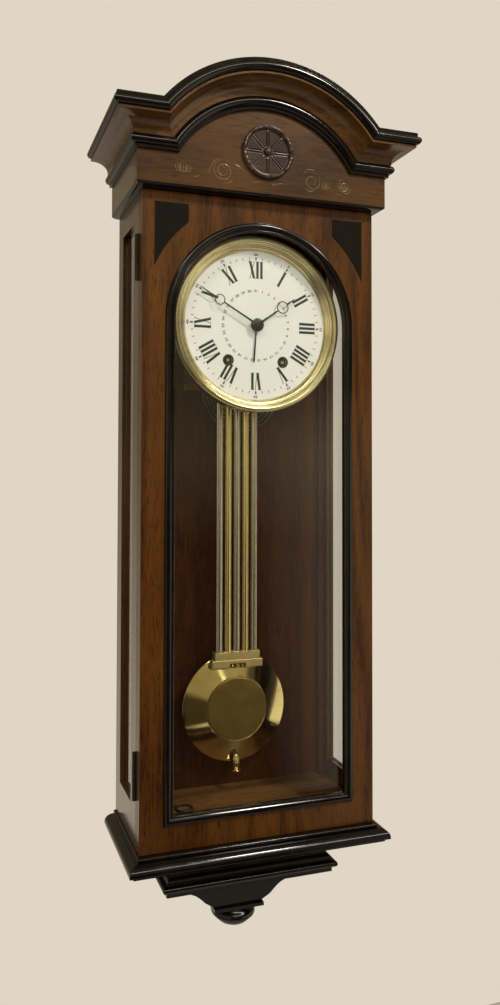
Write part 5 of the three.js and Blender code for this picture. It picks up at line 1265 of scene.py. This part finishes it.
# A closed outline carried outwards, with its front edge cut at forty-five degrees. Each corner
# moves inwards by the chamfer along the sum of its two edges' normals.
def chamferedPlate(outline, back, front, chamfer):
    points = np.asarray(outline, float)
    ahead = np.roll(points, -1, 0) - points
    ahead /= lengths(ahead)
    normal = np.stack([-ahead[:, 1], ahead[:, 0]], -1)
    last = np.roll(normal, 1, 0)
    inwards = (normal + last) / (1 + (normal * last).sum(1, keepdims=True)) * chamfer
    rows = [(points, back), (points, front - chamfer), (points + inwards, front)]
    return gridPart(np.stack([atPlace(row[:, 0], out, row[:, 1]) for row, out in rows]))


# The lower crossbar: a narrow bar on a wider one, with a slot in the wide one where two pins
# carry the rating rod. A thin blackened plate at the foot of the slot paints the shade inside it.
def makeLowerCrossbar():
    c = crossbar
    parts = [easedBlock(*corners) for corners in c["blocks"]]
    parts.append(chamferedPlate(c["outline"], *c["plate"]))
    makePiece("lowerCrossbar", parts, "barBrass", "pendulum", "lower_crossbar")
    # painted shade: a blackened plate at the slot's foot stands for the shade inside the slot
    makePiece("slotShadePlate", [easedBlock(*c["ground"])], "hand", "pendulum", slot="brass")
    end = rounded(c["pinEnd"], c["pinArris"], fewSteps, closed=False)
    pins = [turned(end, x, c["pinHeight"], c["pinSides"]) for x in c["pins"]]
    makePiece("ratingHook", [*pins, easedBlock(*c["hook"])], "brass", "pendulum")


ratingRod = dict(radius=1.6, foot=74.0, head=175.0, out=38.5, sides=24)


# The rating rod as far as it shows: inside the bob, between its seats.
def makeRatingRod():
    rod = ratingRod
    part = rodPart(rod["radius"], rod["foot"], rod["head"], 0, rod["out"], rod["sides"])
    makePiece("ratingRod", [part], "steel", "pendulum", "rating_rod")


# The nut's profile as shares of its radius and of its height from the top, and its flange.
nut = dict(
    radius=5.3, top=70.5, height=20.0, bore=2.1, wall=0.1, arris=0.5, steps=48,
    profile=[(0.42, 0), (0.62, 0.1), (0.9, 0.34), (1, 0.56), (0.94, 0.74), (0.66, 0.88), (0.5, 1)],
    flange=[(2.65, 50.5), (6.4, 50.5), (6.4, 48.5), (2.6, 48.5), (2.1, 47.0)],
)


# The rating nut: an urn on a flange, never thinner than the wall round its bore.
def makeNut():
    bore, top, least = nut["bore"], nut["top"], nut["bore"] + nut["wall"]
    urn = [(max(nut["radius"] * wide, least), top - nut["height"] * down) for wide, down in nut["profile"]]
    profile = rounded([(bore, top), *urn, *nut["flange"]], nut["arris"])
    part = turned(profile, 0, case["pendulumOut"], nut["steps"], standing=True)
    makePiece("ratingNut", [part], "brass", "rating_nut", "rating_nut")


gong = dict(turns=5, steps=72, pitch=5.0, radius=56.0, lead=18.0, start=100.0, x=14.0, out=20.0, drop=75.0,
            wire=1.4, sides=12)


# The gong: a flat spiral that closes in by a pitch each turn, led in by a straight end.
def makeGong():
    share = np.linspace(0, gong["turns"], gong["turns"] * gong["steps"] + 1)
    angle, reach = math.radians(gong["start"]) + 2 * np.pi * share, gong["radius"] - gong["pitch"] * share
    height = dialHeight - gong["drop"] + np.sin(angle) * reach
    path = np.stack([gong["x"] + np.cos(angle) * reach, np.full_like(reach, gong["out"]), height], -1)
    start = path[0] - path[1]
    path = np.concatenate([[path[0] + start / np.linalg.norm(start) * gong["lead"]], path])
    coil = tube(path, gong["wire"], gong["wire"], gong["sides"])
    makePiece("gongCoil", [coil], "gong", "case", "gong_coil", flatten=False)


makeRods()
makeBob()
makeNut()
makeGong()
makeLowerCrossbar()
makeRatingRod()
softened("top_crossbar_and_stem", "brass", "pendulum", 0.4, name="topCrossbar")
print("pendulum made")

key = dict(x=-80.0, out=71.0, ring=10.2, wire=1.3, turn=215.0, gap=0.1, shaft=1.4, socket=3.2,
           shaftLength=14.0, length=24.0, sides=12, steps=48)


# The winding key that lies on the floor: an open bow, a shaft and its wider round socket.
def makeKey():
    turn, wire, ring = math.radians(key["turn"]), key["wire"], key["ring"]
    ground = case["floor"] + key["gap"]
    around, section = circle(key["steps"])[:, None], circle(key["sides"])[None, :]
    reach = ring + np.cos(section) * wire
    bow = atPlace(key["x"] + np.cos(around) * reach, key["out"] + np.sin(around) * reach,
                  ground + wire + np.sin(section) * wire + 0 * around)
    along = ring + np.array([0.0, key["shaftLength"], key["shaftLength"], key["length"]])[:, None]
    thick = np.repeat([key["shaft"], key["socket"]], 2)[:, None]
    aside = np.cos(section) * thick
    shaft = atPlace(key["x"] + math.cos(turn) * along - math.sin(turn) * aside,
                    key["out"] + math.sin(turn) * along + math.cos(turn) * aside,
                    ground + key["socket"] + np.sin(section) * thick)
    makePiece("windingKey", [gridPart(bow, closeRows=True), gridPart(shaft)], "hand")


makeKey()

# The solids that show as they are, by their looks.
plain = dict(
    floor=["case_floor"], top=["case_top"], back=["backboard"], dial=["dial"],
    iron=["movement_bracket", "gong_post"],
    glass=["side_glass_left", "side_glass_right", "door_glass"],
    brass=["hanging_plate", "front_plate", "back_plate", "strike_barrel", "going_barrel", "centre_wheel",
           "escape_wheel", "back_cock"],
    steel=["strike_winding_arbor", "going_winding_arbor", "anchor_and_crutch", "hammer", "suspension_spring"],
)
for look, members in plain.items():
    for node in members:
        nodes[node].data.materials.clear()
        nodes[node].data.materials.append(looks[look])
print("solids dressed:", sum(map(len, plain.values())))

shot = dict(
    place=(-0.368952, -1.049472, -0.286807), yaw=0.312467, pitch=0.026502, roll=0.003555,
    lens=28.80, shiftX=0.04404, shiftY=-0.06152, nearest=0.01,
)


# The camera: yaw to the right and pitch upwards give its forward line, and roll turns it.
def makeCamera():
    yaw, pitch, roll = shot["yaw"], shot["pitch"], shot["roll"]
    ahead = Vector((math.sin(yaw) * math.cos(pitch), math.cos(yaw) * math.cos(pitch), math.sin(pitch)))
    right = Vector((math.cos(yaw), -math.sin(yaw), 0))
    above = right.cross(ahead)
    turnedRight = right * math.cos(roll) + above * math.sin(roll)
    turnedAbove = above * math.cos(roll) - right * math.sin(roll)
    camera = bpy.data.cameras.new("camera")
    camera.lens = shot["lens"]
    camera.shift_x = shot["shiftX"]
    camera.shift_y = shot["shiftY"]
    camera.clip_start = shot["nearest"]
    holder = newObject("camera", camera)
    columns = Matrix((turnedRight, turnedAbove, -ahead)).transposed().to_4x4()
    holder.matrix_world = Matrix.Translation(shot["place"]) @ columns
    bpy.context.scene.camera = holder


lampTarget, warm = (0.0, 0.0, -0.3), (1.0, 0.94, 0.85)
lamps = [
    dict(name="keyRight", place=(0.9, -1.6, 1.4), size=0.3, power=33.0, colour=warm, glossy=True),
    dict(name="keyLeft", place=(-0.95, -1.25, 1.25), size=0.3, power=10.0, colour=warm, glossy=True),
    dict(name="fill", place=(-0.7, -2.6, 0.1), size=1.6, power=20.0, colour=(1.0, 0.97, 0.92), glossy=False),
]


# The lamps: square areas that face the clock and aren't seen through its glass.
def makeLamps():
    for settings in lamps:
        light = bpy.data.lights.new(settings["name"], "AREA")
        light.size = settings["size"]
        light.energy = settings["power"]
        light.color = settings["colour"]
        lamp = newObject(settings["name"], light)
        lamp.location = settings["place"]
        lamp.rotation_euler = (Vector(lampTarget) - lamp.location).to_track_quat("-Z", "Y").to_euler()
        lamp.visible_glossy = settings["glossy"]
        lamp.visible_transmission = False


# The room as gloss sees it. A patch is a colour with, for x and z, the direction's share where
# it starts and where it is whole, and the z (in one range also the x) where it begins to end
# and ends.
room = dict(
    dark=(0.052, 0.037, 0.02, 1), behind=(-0.2, 0.2), wallRange=(-0.45, 0.05, 1.0, 0.0),
    wallHigh=(150, 132, 108), wallLow=(226, 210, 186), through=(202, 192, 171), seen=(224, 214, 197),
    even=(1.0, 0.95, 0.88, 1), strength=0.36,
    patches=[
        dict(colour=(0.26, 0.22, 0.13), x=(-2.0, -1.9), xEnd=(0.5, 0.58), z=(-0.1, 0.0), end=(2.0, 2.1)),
        dict(colour=(0.14, 0.12, 0.08), x=(-2.0, -1.9), xEnd=(0.5, 0.58), z=(0.12, 0.24), end=(2.0, 2.1)),
        dict(colour=(16.0, 15.4, 14.2), x=(-0.3, -0.1), z=(0.58, 0.61), end=(0.64, 0.67)),
        dict(colour=(0.40, 0.34, 0.25), x=(0.36, 0.43), z=(-0.62, -0.50), end=(0.02, 0.1)),
        dict(colour=(0.15, 0.125, 0.07), x=(0.02, -0.04), z=(-0.07, 0.01), end=(0.1, 0.3)),
        dict(colour=(0.68, 0.64, 0.52), x=(0.5, 0.56), z=(-0.5, -0.46), end=(0.02, 0.08)),
        dict(colour=(0.46, 0.40, 0.28), x=(-0.40, -0.55), z=(-0.40, -0.30), end=(0.1, 0.3)),
        dict(colour=(3.6, 3.4, 2.9), x=(0.0, 0.03), xEnd=(0.07, 0.11), z=(0.24, 0.29), end=(0.35, 0.4)),
    ],
)


# The room: an even light, and for what the camera, gloss and glass see a pale wall behind
# the clock and a dim room with a few lit patches in front of it.
def makeRoom():
    world = bpy.data.worlds.new("room")
    bpy.context.scene.world = world
    world.use_nodes = True
    tree = world.node_tree
    tree.nodes.clear()
    direction = put(tree, "SeparateXYZ", {0: put(tree, "TexCoord").outputs["Generated"]}).outputs
    behind = ranged(tree, direction["Y"], *room["behind"])
    lit = room["dark"]
    for patch in room["patches"]:
        across, upward = ranged(tree, direction["X"], *patch["x"]), ranged(tree, direction["Z"], *patch["z"])
        ending = ranged(tree, direction["Z"], *patch["end"], 1.0, 0.0)
        share = product(tree, product(tree, across, upward), ending)
        if "xEnd" in patch:
            share = product(tree, share, ranged(tree, direction["X"], *patch["xEnd"], 1.0, 0.0))
        lit = blendColours(tree, share, lit, (*patch["colour"], 1), "ADD")
    wallShare = ranged(tree, direction["Z"], *room["wallRange"])
    wall = blendColours(tree, wallShare, tone(*room["wallHigh"]), tone(*room["wallLow"]))
    through = blendColours(tree, behind, lit, tone(*room["through"]))
    path = put(tree, "LightPath").outputs
    surface = put(tree, "Background", {"Color": room["even"], "Strength": room["strength"]})
    for ray, colour in (("Glossy", blendColours(tree, behind, lit, wall)), ("Transmission", through),
                        ("Camera", tone(*room["seen"]))):
        ground = put(tree, "Background", {"Color": colour, "Strength": 1.0}).outputs[0]
        sockets = {0: path["Is " + ray + " Ray"], 1: surface.outputs[0], 2: ground}
        surface = put(tree, "MixShader", sockets)
    put(tree, "OutputWorld", {"Surface": surface.outputs[0]}).is_active_output = True


studio = dict(half=1.2, front=-1.4, back=0.5, height=-1.5, colour=(206, 198, 186), roughness=0.7)


# The pale floor under the clock.
def makeFloor():
    half, front, back, height = studio["half"], studio["front"], studio["back"], studio["height"]
    mesh = bpy.data.meshes.new("studioFloor")
    corners = [(-half, front, height), (half, front, height), (half, back, height), (-half, back, height)]
    mesh.from_pydata(corners, [], [[0, 1, 2, 3]])
    material, tree = newMaterial("paleFloor")
    setShader(tree, colour=tone(*studio["colour"]), roughness=studio["roughness"])
    mesh.materials.append(material)
    newObject("studioFloor", mesh)


makeCamera()
makeLamps()
makeRoom()
makeFloor()
bpy.context.scene.view_settings.view_transform = "Standard"
print("scene lit")
